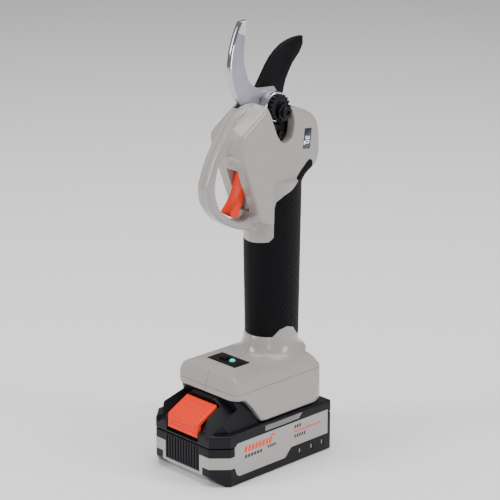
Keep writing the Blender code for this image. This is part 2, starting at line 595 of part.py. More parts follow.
def motor():
    centre = (0, DRIVE_Y)
    can = [(15.0, 172.0), (15.0, 122.0), (11.6, 122.0), (11.6, 169.8), (4.5, 169.8), (4.5, 172.0)]
    turned("motor_can", can, "Z", centre, DARK_STEEL)
    cap = [(15.0, 121.6), (15.0, 114.0), (2.5, 114.0), (2.5, 117.0), (9.0, 117.0), (9.0, 121.6)]
    turned("motor_end_cap", cap, "Z", centre, BLACK)
    turned("rotor_core", [(10.9, 165.0), (10.9, 127.0), (2.3, 127.0), (2.3, 165.0)], "Z", centre,
           COPPER)
    shaft = rod("motor_shaft", "Z", centre, 2.0, 114.6, GEAR_Z[0] + 0.5, GEAR_STEEL, sides=16)
    join(shaft, plate("sun_teeth", gear_outline(centre, SUN_TEETH, PLANET_MODULE,
                                                90), *GEAR_Z, axis="Z"))
    put_origin(shaft, (0, DRIVE_Y, GEAR_Z[0]))


# ---------------------------------------------------------------- trigger, switch, electronics

def trigger_group():
    outline = [(1.4, 232.6), (-0.9, 226.8), (-2.0, 219.6), (-3.4, 214.0), (-5.6, 208.4), (-9.0, 203.2),
               (-12.4, 199.4), (-14.8, 197.2), (-14.4, 195.4), (-11.0, 193.0), (-7.0, 190.9),
               (-2.9, 199.4), (1.4, 209.0), (4.0, 215.0), (9.0, 220.0), (12.0, 224.0), (10.6, 231.0),
               (6.0, 234.2)]
    made = plate("trigger", outline, -5.3, 5.3, ORANGE, holes=[circle(TRIGGER_AXIS, 2.1, 16)])
    soften(made, 0.9, 1, 50)
    put_origin(made, (0, *TRIGGER_AXIS))
    rod("trigger_pin", "X", TRIGGER_AXIS, 1.8, -11.0, 11.0, GEAR_STEEL, sides=16)
    block("trigger_switch", (-4.5, 18.0, 219.0), (4.5, 21.8, 234.5), BLACK)


def top_panel():
    """The switch plate on the foot, its push button and its status light."""
    panel = block("switch_plate", (-15, -19.2, 76.5), (15, -3.8, 80.5), BLACK)
    soften(panel, 0.6)
    cut(panel, block("button_room", (-7.6, -14.6, 70), (-0.4, -8.4, 90)),
        rod("light_room", "Z", (4.2, -11.5), 2.5, 70, 90, sides=20))
    button = block("power_button", (-7.1, -14.1, 76.9), (-0.9, -8.9, 82.0), BLACK)
    soften(button, 0.6)
    put_origin(button, (-4.0, -11.5, 80.5))
    soften(rod("status_light", "Z", (4.2, -11.5), 2.1, 76.9, 81.6, TEAL, sides=20), 0.4)


def electronics():
    block("control_board", (-22, -16, 71.0), (22, 17, 72.6), BOARD)
    housing = block("terminal_block", (-16, 46.3, 48.0), (16, 51.8, 57.2), BLACK)
    for number, place in enumerate((-10.0, 10.0), 1):
        join(housing, block(f"terminal_blade_{number}", (place - 0.5, 36.0, 50.0),
                            (place + 0.5, 47.0, 54.5)))
    name, corners, low, high = display_box("display_window", 0.0, 14.4, 16.1)
    plate(name, corners, low, high, LENS)
    name, corners, low, high = display_box("display_module", 0.8, 10.5, 13.8)
    plate(name, corners, low, high, BOARD)


# ---------------------------------------------------------------- battery

def battery_plan(shrink):
    """The battery seen from above: cut front corners, nearly square rear ones."""
    side = BATTERY_HALF - shrink
    front = BATTERY_FRONT + shrink
    rear = BATTERY_REAR - shrink
    corner = 29.2 - shrink * 0.4
    right = [(corner, front), (side, -47.3 + shrink * 0.4), (side, rear - 1.2), (side - 1.2, rear)]
    return right + [(-x, y) for x, y in reversed(right)]


def trim_area(name, grow):
    """Where the grey trim lies: a label field on each side and a band across the front."""
    low, high = -grow, grow
    side = [(-41.0 + low, 8.4 + low), (-38.5 + low, 6.6 + low), (9.0 + high, 6.6 + low),
            (15.5 + high, 13.5 + low), (54.9 + high, 13.5 + low), (54.9 + high, 32.9 + high),
            (-40.0 + low, 32.9 + high), (-43.0 + low, 30.0 + high), (-43.0 + low, 23.3 + high),
            (-50.0, 23.3 + high), (-50.0, 14.2 + low), (-43.0 + low, 14.2 + low)]
    band = [(-46.0, 14.2 + low), (-21.8 + low, 14.2 + low), (-21.8 + low, 8.15 + low),
            (21.8 + high, 8.15 + low), (21.8 + high, 14.2 + low), (46.0, 14.2 + low),
            (46.0, 23.3 + high), (18.7 + low, 23.3 + high), (18.7 + low, 9.6 + high),
            (-18.7 + high, 9.6 + high), (-18.7 + high, 23.3 + high), (-46.0, 23.3 + high)]
    made = plate(name, side, -60, 60)
    return join(made, plate(name + "_band", band, -70, -46.5, axis="Y"))


CHIN_RECESS = [(-50.3, -1.5), (-49.2, 0.9), (-57.45, 8.2), (-57.45, 9.1), (-61.0, 9.1), (-61.0, 4.0)]
CHIN_TRIM = [(-58.95, 9.2), (-58.95, 7.85), (-50.5, 0.42), (-49.9, 1.1), (-57.9, 8.15), (-57.9, 9.2)]


def trim_ring(name, outer_shrink, inner_shrink, low, high, finish=None):
    return plate(name, battery_plan(outer_shrink), low, high, finish, axis="Z",
                 holes=[battery_plan(inner_shrink)])


def battery_cases():
    """A lower tray and an upper case with the latch tower and the slide-on rail."""
    recess = trim_ring("trim_recess", -2.0, 1.6, 3.0, 38.0)
    common(recess, trim_area("trim_recess_area", GAP))
    lower = plate("battery_lower_case", battery_plan(0.0), 0.0, BATTERY_SPLIT_Z, BLACK, axis="Z")
    cut(lower, plate("chin", [(-49.9, -0.1), (-49.9, -5.0), (-70.0, -5.0), (-70.0, 17.6)], -60, 60))
    inside = plate("battery_inside", battery_plan(3.6), 2.4, 60.0, axis="Z")
    cut(inside, plate("chin_wall", [(-45.9, 2.3), (-45.9, -5.0), (-70.0, -5.0), (-70.0, 23.5)], -60, 60))
    cut(lower, inside, recess, plate("chin_recess", CHIN_RECESS, -22.1, 22.1))
    shoulder = plate("battery_upper_case", battery_plan(0.0), BATTERY_SPLIT_Z + GAP, DECK_Z, BLACK,
                     axis="Z")
    soften(shoulder, 1.6, 1, 70)
    tower_side = [(-55.5, 36.0), (-50.5, 45.5), (-38.5, 57.6), (-36.6, 60.0), (-25.4, 60.0), (-19.6, 52.8),
                  (-12.6, 40.6), (-12.6, 36.0)]
    tower_front = [(-36.0, 36.0), (36.0, 36.0), (34.0, 41.0), (27.0, 60.5), (-27.0, 60.5), (-34.0, 41.0)]
    tower = plate("latch_tower", tower_side, -40, 40)
    common(tower, plate("latch_tower_front", tower_front, -70, 0, axis="Y"))
    join(shoulder, tower, block("rail_neck", (-18.1, -22, 39), (18.1, 45.8, 48.0)),
         block("rail_flange", (-22.0, -22, 47.9), (22.0, 45.8, 56.0)))
    cut(shoulder, plate("battery_lid_inside", battery_plan(3.6), 20.0, DECK_Z - 2.2, axis="Z"), recess)
    for number, place in enumerate((-10.0, 10.0), 1):
        cut(shoulder, block(f"terminal_slot_{number}", (place - 1.2, 35.0, 49.4),
                            (place + 1.2, 47.0, 55.1)))
    pocket = [(-64.0, 32.4), (-64.0, 60.0), (-40.5, 60.0), (-37.6, 58.4), (-35.6, 50.4), (-52.2, 41.2),
              (-53.0, 32.4)]
    cut(shoulder, plate("latch_pocket", pocket, -17.1, 17.1))
    cut(shoulder, plate("gauge_room", [(-12.0, 34.0), (24.4, 34.0), (28.4, 39.0), (-12.0, 39.0)], 38.7, 50))
    for number, place in enumerate((25.0, 37.5, 49.0), 1):
        for side in (-1, 1):
            ends = sorted((side * 39.3, side * 45.0))
            cut(lower, block(f"vent_{number}_{side}", (ends[0], place - 1.1, 5.6),
                             (ends[1], place + 1.1, 9.6)))
    for number, (x, y) in enumerate(((-26.0, -44.0), (26.0, -44.0), (-33.0, 52.0), (33.0, 52.0)), 1):
        cut(lower, rod(f"battery_screw_room_{number}", "Z", (x, y), 3.3, -1.0, 1.6, sides=20))
        head = rod(f"battery_screw_{number}", "Z", (x, y), 2.8, 0.3, 1.3, DARK_STEEL, sides=16)
        cut(head, block(f"battery_screw_{number}_drive", (x - 0.9, y - 0.9, -1), (x + 0.9, y + 0.9, 0.9)))


def battery_trim():
    made = trim_ring("battery_trim", 0.0, 1.3, 3.0, 38.0, GREY)
    common(made, trim_area("trim_area", 0.0))
    join(made, plate("trim_chin", CHIN_TRIM, -21.8, 21.8))


def latch_and_gauge():
    outline = [(-59.0, 35.1), (-58.2, 46.4), (-38.6, 56.2), (-38.2, 52.9), (-54.6, 44.4), (-55.2, 35.1)]
    button = plate("latch_button", outline, -16.5, 16.5, ORANGE)
    put_origin(button, (0, -48.4, 51.3))
    plate("gauge_window", [(-11.6, 34.3), (24.0, 34.3), (27.8, 38.7), (-11.6, 38.7)], 39.0, 40.0, SMOKED)


def cells():
    """Five cells lie across the battery in the lower tray, in one holder."""
    for number in range(5):
        place = -41.0 + number * 19.8
        turned(f"battery_cell_{number + 1}",
               [(9.1, 32.4), (9.1, -32.4), (0.0, -32.4), (0.0, 32.4)], "X", (place, 14.5), CELL, steps=24)
    holder = plate("cell_holder", battery_plan(4.4), 25.0, 29.0, BLACK, axis="Z")
    for number in range(5):
        place = -41.0 + number * 19.8
        cut(holder, rod(f"cell_seat_{number + 1}", "X", (place, 14.5), 11.2, -40, 40, sides=24))


housing_halves(housing_shape())
screws("housing_screw", zip(SCREW_PLACES, SCREW_HALVES))
grips()
fixed_blade()
moving_blade()
pivot_group()
head_bracket()
gearbox()
motor()
trigger_group()
top_panel()
electronics()
battery_cases()
battery_trim()
latch_and_gauge()
cells()
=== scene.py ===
import math

import bmesh
import bpy
from mathutils import Matrix, Vector


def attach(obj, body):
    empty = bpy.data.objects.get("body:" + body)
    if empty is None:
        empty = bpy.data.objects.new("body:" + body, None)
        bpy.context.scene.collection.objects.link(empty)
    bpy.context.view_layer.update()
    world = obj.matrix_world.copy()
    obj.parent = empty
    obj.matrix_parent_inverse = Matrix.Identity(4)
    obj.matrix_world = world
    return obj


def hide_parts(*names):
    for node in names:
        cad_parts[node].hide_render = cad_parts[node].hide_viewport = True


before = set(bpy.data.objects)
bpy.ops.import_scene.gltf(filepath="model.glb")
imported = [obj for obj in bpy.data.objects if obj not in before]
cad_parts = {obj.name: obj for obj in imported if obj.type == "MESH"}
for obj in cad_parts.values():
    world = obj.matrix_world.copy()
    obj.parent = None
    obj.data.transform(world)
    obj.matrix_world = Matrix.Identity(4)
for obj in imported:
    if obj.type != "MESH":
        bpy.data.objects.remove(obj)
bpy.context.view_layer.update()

MM = 0.001

# ---------------------------------------------------------------- studio
# The tool stands on its battery on a plain pale table, turned so that the trigger side and the
# display side both show. Four soft boxes and an even pale surround light it.

camera = bpy.data.objects.new("camera", bpy.data.cameras.new("camera"))
camera.data.lens = 144
camera.data.sensor_width = 36
camera.data.clip_end = 50
look_down, turned = math.radians(17.92), math.radians(46.12)
camera.location = (1.0225, -0.9724, 0.6205)
camera.rotation_euler = (math.radians(90) - look_down, 0, turned)
bpy.context.collection.objects.link(camera)
bpy.context.scene.camera = camera


def softbox(name, place, size, watts, aim=(0, 0, 0.16)):
    """A rectangular light that looks at the middle of the tool."""
    lamp = bpy.data.lights.new(name, "AREA")
    lamp.shape = "RECTANGLE"
    lamp.size, lamp.size_y = size
    lamp.energy = watts
    holder = bpy.data.objects.new(name, lamp)
    holder.location = place
    holder.rotation_euler = (Vector(aim) - Vector(place)).to_track_quat("-Z", "Y").to_euler()
    bpy.context.collection.objects.link(holder)


softbox("front_softbox", (-0.7, -1.4, 0.95), (0.5, 0.9), 16)
softbox("side_softbox", (1.5, 0.7, 0.85), (0.4, 1.0), 13)
softbox("top_softbox", (0.0, 0.1, 1.6), (1.6, 1.6), 30)
softbox("corner_strip", (0.95, -0.75, 0.30), (0.10, 0.5), 1.6)

surround = bpy.data.worlds.new("surround")
surround.use_nodes = True
sky = surround.node_tree.nodes["Background"]
sky.inputs["Color"].default_value = (1, 1, 1, 1)
sky.inputs["Strength"].default_value = 0.28
bpy.context.scene.world = surround

table_shape = bmesh.new()
bmesh.ops.create_grid(table_shape, x_segments=2, y_segments=2, size=6)
bmesh.ops.translate(table_shape, vec=(0, 0, -0.0002), verts=table_shape.verts)
table_mesh = bpy.data.meshes.new("table")
table_shape.to_mesh(table_mesh)
table_shape.free()
table = bpy.data.objects.new("table", table_mesh)
bpy.context.collection.objects.link(table)
table_paint = bpy.data.materials.new("pale_table")
table_paint.use_nodes = True
table_top = table_paint.node_tree.nodes["Principled BSDF"]
table_top.inputs["Base Color"].default_value = (0.93, 0.93, 0.93, 1)
table_top.inputs["Roughness"].default_value = 0.9
table_mesh.materials.append(table_paint)

# ---------------------------------------------------------------- battery cells and their holder
# Five sleeved lithium cells lie across the battery, held by one moulded black frame.
# The sleeves are thin shrink film and the frame is glass-filled nylon.


def moulded(name, colour, roughness, metallic=0.0, grain=0.02, grain_size=0.5, mottle=0.05,
            coat=0.0, stretch=(1, 1, 1), shine=0.5):
    """A finish whose tone, gloss and fine surface vary a little over the piece."""
    made = bpy.data.materials.new(name)
    made.use_nodes = True
    nodes, links = made.node_tree.nodes, made.node_tree.links
    shader = nodes["Principled BSDF"]
    shader.inputs["Metallic"].default_value = metallic
    shader.inputs["Specular IOR Level"].default_value = shine
    shader.inputs["Coat Weight"].default_value = coat
    shader.inputs["Coat Roughness"].default_value = 0.08
    place = nodes.new("ShaderNodeTexCoord")
    lie = nodes.new("ShaderNodeMapping")
    lie.inputs["Scale"].default_value = stretch
    cloud = nodes.new("ShaderNodeTexNoise")
    cloud.inputs["Scale"].default_value = 55
    cloud.inputs["Detail"].default_value = 3
    fine = nodes.new("ShaderNodeTexNoise")
    fine.inputs["Scale"].default_value = 1 / (grain_size * MM)
    fine.inputs["Detail"].default_value = 2
    tone = nodes.new("ShaderNodeMix")
    tone.data_type = "RGBA"
    tone.inputs["A"].default_value = (*[c * (1 - mottle) for c in colour], 1)
    tone.inputs["B"].default_value = (*[c * (1 + mottle) for c in colour], 1)
    gloss = nodes.new("ShaderNodeMapRange")
    gloss.inputs["To Min"].default_value = roughness * 0.85
    gloss.inputs["To Max"].default_value = roughness * 1.15
    relief = nodes.new("ShaderNodeBump")
    relief.inputs["Distance"].default_value = grain * MM
    links.new(place.outputs["Object"], cloud.inputs["Vector"])
    links.new(place.outputs["Object"], lie.inputs["Vector"])
    links.new(lie.outputs["Vector"], fine.inputs["Vector"])
    links.new(cloud.outputs["Fac"], tone.inputs["Factor"])
    links.new(tone.outputs["Result"], shader.inputs["Base Color"])
    links.new(fine.outputs["Fac"], gloss.inputs["Value"])
    links.new(gloss.outputs["Result"], shader.inputs["Roughness"])
    links.new(fine.outputs["Fac"], relief.inputs["Height"])
    links.new(relief.outputs["Normal"], shader.inputs["Normal"])
    return made


def repaint(finish, *names):
    """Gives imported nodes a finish, and leaves their shape as it is."""
    for name in names:
        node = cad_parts[name]
        node.data.materials.clear()
        node.data.materials.append(finish)


cell_film = moulded("cell_shrink_film", (0.02, 0.12, 0.35), 0.38, mottle=0.08)
frame_nylon = moulded("cell_frame_nylon", (0.012, 0.012, 0.014), 0.5, grain=0.04)
repaint(cell_film, *[f"battery_cell_{number}" for number in range(1, 6)])
repaint(frame_nylon, "cell_holder")

# ---------------------------------------------------------------- battery lower case
# The tray is an injection moulding in black nylon with a fine spark-eroded grain. The ribbed
# panel at the front and the three slots on each side are moulded in.

TURN = {"X": Matrix(((0, 0, 1, 0), (1, 0, 0, 0), (0, 1, 0, 0), (0, 0, 0, 1))),
        "Y": Matrix(((1, 0, 0, 0), (0, 0, 1, 0), (0, 1, 0, 0), (0, 0, 0, 1))),
        "Z": Matrix.Identity(4)}
CLEAR = 0.3


def blank(shape, matrix=Matrix.Identity(4)):
    """A loose object from a bmesh in millimetres, turned and scaled in its mesh."""
    bmesh.ops.transform(shape, matrix=Matrix.Scale(MM, 4) @ matrix, verts=shape.verts)
    bmesh.ops.recalc_face_normals(shape, faces=shape.faces)
    mesh = bpy.data.meshes.new("blank")
    shape.to_mesh(mesh)
    shape.free()
    made = bpy.data.objects.new("blank", mesh)
    bpy.context.collection.objects.link(made)
    return made


def slab(outline, low, high, axis="X", holes=()):
    """A flat outline with thickness. The outline is (Y, Z) for X, (X, Z) for Y and (X, Y) for Z."""
    shape = bmesh.new()
    for loop in (outline, *holes):
        verts = [shape.verts.new((*point, low)) for point in loop]
        if holes:
            for a, b in zip(verts, verts[1:] + verts[:1]):
                shape.edges.new((a, b))
        else:
            shape.faces.new(verts)
    if holes:
        bmesh.ops.triangle_fill(shape, use_beauty=True, edges=shape.edges[:])
    raised = bmesh.ops.extrude_face_region(shape, geom=shape.faces[:])["geom"]
    bmesh.ops.translate(shape, vec=(0, 0, high - low),
                        verts=[v for v in raised if isinstance(v, bmesh.types.BMVert)])
    return blank(shape, TURN[axis])


def box(low, high):
    """A square block between two opposite corners."""
    shape = bmesh.new()
    bmesh.ops.create_cube(shape, size=1)
    bmesh.ops.scale(shape, vec=[b - a for a, b in zip(low, high)], verts=shape.verts)
    bmesh.ops.translate(shape, vec=[(a + b) / 2 for a, b in zip(low, high)], verts=shape.verts)
    return blank(shape)


def bar(axis, centre, radius, low, high, end_radius=None, oval=(1, 1), sides=48):
    """A round or tapered bar along an axis, centred on the two other coordinates."""
    shape = bmesh.new()
    top = radius if end_radius is None else end_radius
    bmesh.ops.create_cone(shape, cap_ends=True, segments=sides, radius1=radius, radius2=top,
                          depth=high - low)
    bmesh.ops.scale(shape, vec=(*oval, 1), verts=shape.verts)
    bmesh.ops.translate(shape, vec=(*centre, (low + high) / 2), verts=shape.verts)
    return blank(shape, TURN[axis])


def twin(made):
    """A loose copy with a mesh of its own."""
    copied = made.copy()
    copied.data = made.data.copy()
    bpy.context.collection.objects.link(copied)
    return copied


def settle(made):
    """Makes an object's modifiers part of its mesh."""
    graph = bpy.context.evaluated_depsgraph_get()
    mesh = bpy.data.meshes.new_from_object(made.evaluated_get(graph))
    made.modifiers.clear()
    made.data = mesh
    return made


def work(operation, target, *tools):
    """Cuts, joins or crosses a blank with others, which are used up."""
    for tool in tools:
        step = target.modifiers.new("work", "BOOLEAN")
        step.operation = operation
        step.solver = "MANIFOLD"
        step.object = tool
    settle(target)
    for tool in tools:
        bpy.data.objects.remove(tool)
    return target


def cut(target, *tools):
    return work("DIFFERENCE", target, *tools)


def join(target, *tools):
    return work("UNION", target, *tools)


def cross(target, *tools):
    return work("INTERSECT", target, *tools)


def ease(target, width, segments=3, angle=30):
    """Rounds the edges that turn more than an angle."""
    step = target.modifiers.new("ease", "BEVEL")
    step.width = width * MM
    step.segments = segments
    step.limit_method = "ANGLE"
    step.angle_limit = math.radians(angle)
    return settle(target)


def piece(name, made, finish, body, slot, *nodes, crease=32):
    """Names a finished piece, smooths its faces up to its creases and puts it on its body."""
    made.name = name
    shape = bmesh.new()
    shape.from_mesh(made.data)
    bmesh.ops.remove_doubles(shape, verts=shape.verts, dist=2e-7)
    for face in shape.faces:
        face.smooth = True
    for edge in shape.edges:
        edge.smooth = edge.is_manifold and edge.calc_face_angle(0) < math.radians(crease)
    shape.to_mesh(made.data)
    shape.free()
    if not any(made.data.materials):
        made.data.materials.clear()
        made.data.materials.append(finish)
    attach(made, body)
    if nodes:
        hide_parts(*nodes)
    return made


BATTERY_SIDE = 40.1
BATTERY_END = 59.1
SLOTS = (25, 37.5, 49)


def mirrored(right):
    """An outline's right half with its left half added."""
    return right + [(-x, y) for x, y in reversed(right)]


def battery_plan(shrink):
    """The battery seen from above, with cut front corners."""
    side, front, rear = BATTERY_SIDE - shrink, shrink - BATTERY_END, BATTERY_END - shrink
    return mirrored([(29.2 - shrink * 0.4, front), (side, -47.3 + shrink * 0.4), (side, rear - 1.2),
                     (side - 1.2, rear)])


def trim_area(grow):
    """Where the grey trim lies: a field on each side and a band round the front."""
    side = [(-41 - grow, 8.4 - grow), (-38.5 - grow, 6.6 - grow), (9 + grow, 6.6 - grow),
            (15.5 + grow, 13.5 - grow), (54.9 + grow, 13.5 - grow), (54.9 + grow, 32.9 + grow),
            (-40 - grow, 32.9 + grow), (-43 - grow, 30 + grow), (-43 - grow, 23.3 + grow),
            (-50, 23.3 + grow), (-50, 14.2 - grow), (-43 - grow, 14.2 - grow)]
    band = [(-46, 14.2 - grow), (-21.8 - grow, 14.2 - grow), (-21.8 - grow, 8.15 - grow),
            (21.8 + grow, 8.15 - grow), (21.8 + grow, 14.2 - grow), (46, 14.2 - grow),
            (46, 23.3 + grow), (18.7 - grow, 23.3 + grow), (18.7 - grow, 9.6 + grow),
            (-18.7 + grow, 9.6 + grow), (-18.7 + grow, 23.3 + grow), (-46, 23.3 + grow)]
    return join(slab(side, -60, 60), slab(band, -70, -46.5, "Y"))


def trim_recess():
    """The shallow ring round both cases that takes the trim."""
    ring = slab(battery_plan(-2), 3, 38, "Z", holes=[battery_plan(1.6)])
    return cross(ring, trim_area(CLEAR))


case_nylon = moulded("black_case_nylon", (0.007, 0.007, 0.010), 0.36, grain=0.03, grain_size=0.35,
                     shine=0.2)
lower_case = cut(slab(battery_plan(0), 0, 30, "Z"),
                 slab([(-49.9, -0.1), (-49.9, -5), (-70, -5), (-70, 17.6)], -60, 60))
ease(lower_case, 0.8, 3, 20)
room = cut(slab(battery_plan(3.6), 2.4, 60, "Z"),
           slab([(-45.9, 2.3), (-45.9, -5), (-70, -5), (-70, 23.5)], -60, 60))
cut(lower_case, room, trim_recess(),
    slab([(-50.3, -1.5), (-49.2, 0.9), (-57.45, 8.2), (-57.45, 9.1), (-61, 9.1), (-61, 4)], -22.1, 22.1))
for number in range(12):
    across = -16.5 + number * 3
    cut(lower_case, box((across - 0.55, -60, 11.2), (across + 0.55, -58.3, 29)))
for side in (-1, 1):
    low, high = sorted((side * 39.3, side * 45))
    for along in SLOTS:
        slot_ends = [bar("X", (along, up), 1.1, low, high, sides=20) for up in (6.4, 9.2)]
        cut(lower_case, *slot_ends, box((low, along - 1.1, 6.4), (high, along + 1.1, 9.2)))
for x, y in ((-26, -44), (26, -44), (-33, 52), (33, 52)):
    cut(lower_case, bar("Z", (x, y), 3.3, -1, 1.6))
piece("lower_case_tray", lower_case, case_nylon, "battery", "case", "battery_lower_case")

# ---------------------------------------------------------------- battery side slot inserts
# A small grey nylon insert fills the bottom of each side slot.
# They are pushed in from inside and stand a little under the surface.

insert_nylon = moulded("grey_insert_nylon", (0.32, 0.31, 0.30), 0.45, grain=0.03)
inserts = [box((low, along - 0.7, 6.2), (low + 0.25, along + 0.7, 9.4))
           for low in (39.35, -39.6) for along in SLOTS]
inserts = join(*inserts)
piece("side_slot_inserts", inserts, insert_nylon, "battery", "housing")

# ---------------------------------------------------------------- battery upper case
# The lid carries the slide-on rail and the faceted tower that holds the latch. It is the same
# black nylon as the tray, and four screws from below clamp the two together.

lid = ease(slab(battery_plan(0), 30.3, 40, "Z"), 1.6, 3, 50)
shoulder_cut = []
for side in (-1, 1):
    shape = bmesh.new()
    bmesh.ops.create_cube(shape, size=30)
    turn = Matrix.Rotation(math.radians(side * 45), 4, "Z") @ Matrix.Rotation(math.radians(-48), 4, "X")
    shoulder_cut.append(blank(shape, Matrix.Translation((side * 34.4, -53.0, 40)) @ turn
                              @ Matrix.Translation((0, -15.0, 0))))
tower = slab([(-56.5, 33), (-56.5, 38), (-50.5, 47), (-39.2, 58.3), (-36.6, 60), (-25.6, 60),
              (-19.9, 52.8), (-12.9, 40.6), (-12.9, 33)], -40, 40)
tower_front = slab(mirrored([(36, 33), (34, 41), (27.5, 60.5)]), -70, 0, "Y")
tower_plan = slab(mirrored([(20, -60), (31, -50), (36, -40), (37, -28), (37, 0)]), 20, 70, "Z")
cross(tower, tower_front, tower_plan)
ease(tower, 2.4, 4, 24)
cut(lid, *shoulder_cut)
join(lid, tower, ease(join(box((-18.1, -22, 39), (18.1, 45.8, 48)), box((-22, -22, 47.9), (22, 45.8, 56))),
                      0.5, 2))
cut(lid, slab(battery_plan(3.6), 20, 37.8, "Z"), trim_recess())
for across in (-10, 10):
    cut(lid, box((across - 1.2, 35, 49.4), (across + 1.2, 47, 55.1)))
latch_room = slab([(-64, 32.4), (-64, 60), (-40.5, 60), (-37.6, 58.4), (-35.6, 50.4), (-52.2, 41.2),
                   (-53, 32.4)], -17.1, 17.1)
cheeks = []
for side in (-1, 1):
    shape = bmesh.new()
    bmesh.ops.create_cube(shape, size=1)
    bmesh.ops.scale(shape, vec=(20, 40, 20), verts=shape.verts)
    turn = Matrix.Rotation(math.radians(26), 4, "X") @ Matrix.Rotation(math.radians(side * 38), 4, "Y")
    cheeks.append(blank(shape, Matrix.Translation((side * 17.0, -50.0, 48.3)) @ turn
                        @ Matrix.Translation((side * 2, 0, 10))))
cut(lid, latch_room, *cheeks)
cut(lid, slab([(-12, 34), (24.4, 34), (28.4, 39), (-12, 39)], 38.7, 50))
piece("upper_case_lid", lid, case_nylon, "battery", "case", "battery_upper_case")

# ---------------------------------------------------------------- battery trim and its print
# The grey trim is a separate thin moulding that snaps into a recess in both cases.
# Plain bars in orange and black are pad-printed on each side.

grey_abs = moulded("grey_gloss_abs", (0.36, 0.335, 0.32), 0.24, grain=0.012, grain_size=0.8, mottle=0.02,
                   coat=0.35)
trim_abs = moulded("grey_trim_abs", (0.40, 0.38, 0.37), 0.34, grain=0.015, grain_size=0.6, mottle=0.02)
trim = slab(battery_plan(0), 3, 38, "Z", holes=[battery_plan(1.3)])
cross(trim, trim_area(0))
join(trim, slab([(-58.95, 9.2), (-58.95, 7.85), (-50.5, 0.42), (-49.9, 1.1), (-57.9, 8.15), (-57.9, 9.2)],
                -21.8, 21.8))
piece("grey_trim", trim, trim_abs, "battery", "accent", "battery_trim")


INK = 0.06


def printed(name, rows, finish):
    """Slanted printed bars on both sides of the battery: (first Y, Z, width, height, step, count)."""
    bars = None
    for side in (-1, 1):
        low, high = sorted((side * BATTERY_SIDE, side * (BATTERY_SIDE + INK)))
        for start, base, width, height, step, count in rows:
            for number in range(count):
                along = start + number * step
                top, lean_over = base + height, height * 0.22
                one = slab([(along, base), (along + width, base), (along + width + lean_over, top),
                            (along + lean_over, top)], low, high)
                bars = one if bars is None else join(bars, one)
    piece(name, bars, finish, "battery", "accent")


printed("orange_print", [(-33.5, 23.6, 2.4, 4.6, 3.6, 8), (-6.0, 28.6, 1.6, 2.2, 2.4, 2),
                         (18.6, 24.2, 1.4, 1.9, 2.2, 13)],
        moulded("orange_ink", (0.95, 0.055, 0.0), 0.45, shine=0.3))
printed("black_print", [(-33.0, 19.0, 2.2, 2.4, 3.1, 6), (-9.5, 20.4, 1.6, 2.0, 2.3, 4),
                        (18.6, 27.6, 1.7, 2.7, 2.6, 3), (18.6, 19.9, 1.6, 2.7, 2.5, 5)],
        moulded("black_ink", (0.02, 0.02, 0.022), 0.45))

# ---------------------------------------------------------------- battery charge window
# A smoked polycarbonate window above the label lets four small charge lights show through.
# It is pressed into the lid from the right side.

smoked = moulded("smoked_window", (0.16, 0.16, 0.17), 0.22, grain=0.004, coat=0.3)
window = ease(slab([(-11.6, 34.3), (24, 34.3), (27.8, 38.7), (-11.6, 38.7)], 39, 40), 0.25, 2)
piece("charge_window", window, smoked, "battery", "lens", "gauge_window")

# ---------------------------------------------------------------- battery latch button
# The orange button is a bright acetal moulding with finger ribs across its slope. It slides down
# its slope against two springs to free the battery.

orange_abs = moulded("orange_acetal", (0.90, 0.030, 0.0), 0.42, grain=0.02, mottle=0.02, shine=0.3)
latch = slab([(-59, 35.1), (-58.2, 46.4), (-38.6, 56.2), (-38.2, 52.9), (-54.6, 44.4), (-55.2, 35.1)],
             -16.5, 16.5)
ease(latch, 0.9, 4, 20)
finger_ribs = [bar("X", (-55.8 + number * 3.9, 46.95 + number * 1.95), 0.95, -14.2, 14.2, sides=24)
               for number in range(5)]
finger_ribs += [bar("X", (-58.35 - number * 0.22, 44.2 - number * 3.0), 0.6, -14.2, 14.2, sides=24)
                for number in range(3)]
join(latch, *finger_ribs)
piece("latch_push_button", latch, orange_abs, "latch_button", "accent", "latch_button", crease=40)

# ---------------------------------------------------------------- battery case screws
# Four blackened pan-head screws come up through the tray into the lid.
# Their heads sit in round wells under the battery.

black_oxide = moulded("black_oxide_steel", (0.008, 0.008, 0.010), 0.34, metallic=0.5, grain=0.008, shine=0.35)
repaint(black_oxide, *[f"battery_screw_{number}" for number in range(1, 5)])

# ---------------------------------------------------------------- housing halves
# Two gloss grey ABS mouldings meet on the middle plane and form the foot, the core of the handle,
# the head and the finger guard. Five screws from the left side hold them together.

PIVOT = (31.5, 269.0)
TRIGGER_AXIS = (5.0, 229.0)
SCREWS = (((59.5, 228.5), 16.5), ((2, 259), 16.5), ((13.2, 199), 16.5), ((-25, 69.5), 29.5),
          ((38.5, 62.5), 31.5))
SCREW_BOSS, SCREW_WELL, SCREW_HOLE = 4.7, 3.5, 1.8
DISPLAY = (54, 243)
HALF_SEAM = 0.15
RIGHT_SIDE = (HALF_SEAM, -70, 30), (60, 90, 300)
LEFT_SIDE = (-60, -70, 30), (-HALF_SEAM, 90, 300)


def arc(centre, radius, start, end, steps):
    """Points on a round stretch, from one angle to another in degrees."""
    turns = [math.radians(start + (end - start) * i / steps) for i in range(steps + 1)]
    return [(centre[0] + radius * math.cos(a), centre[1] + radius * math.sin(a)) for a in turns]


def through(points, steps=4):
    """A smooth open curve through the points."""
    ends = [points[0], *points, points[-1]]
    found = []
    for a, b, c, d in zip(ends, ends[1:], ends[2:], ends[3:]):
        for i in range(steps):
            t = i / steps
            found.append(tuple(0.5 * (2 * q + (r - p) * t + (2 * p - 5 * q + 4 * r - s) * t * t
                                      + (3 * q - p - 3 * r + s) * t ** 3)
                               for p, q, r, s in zip(a, b, c, d)))
    return found + [points[-1]]


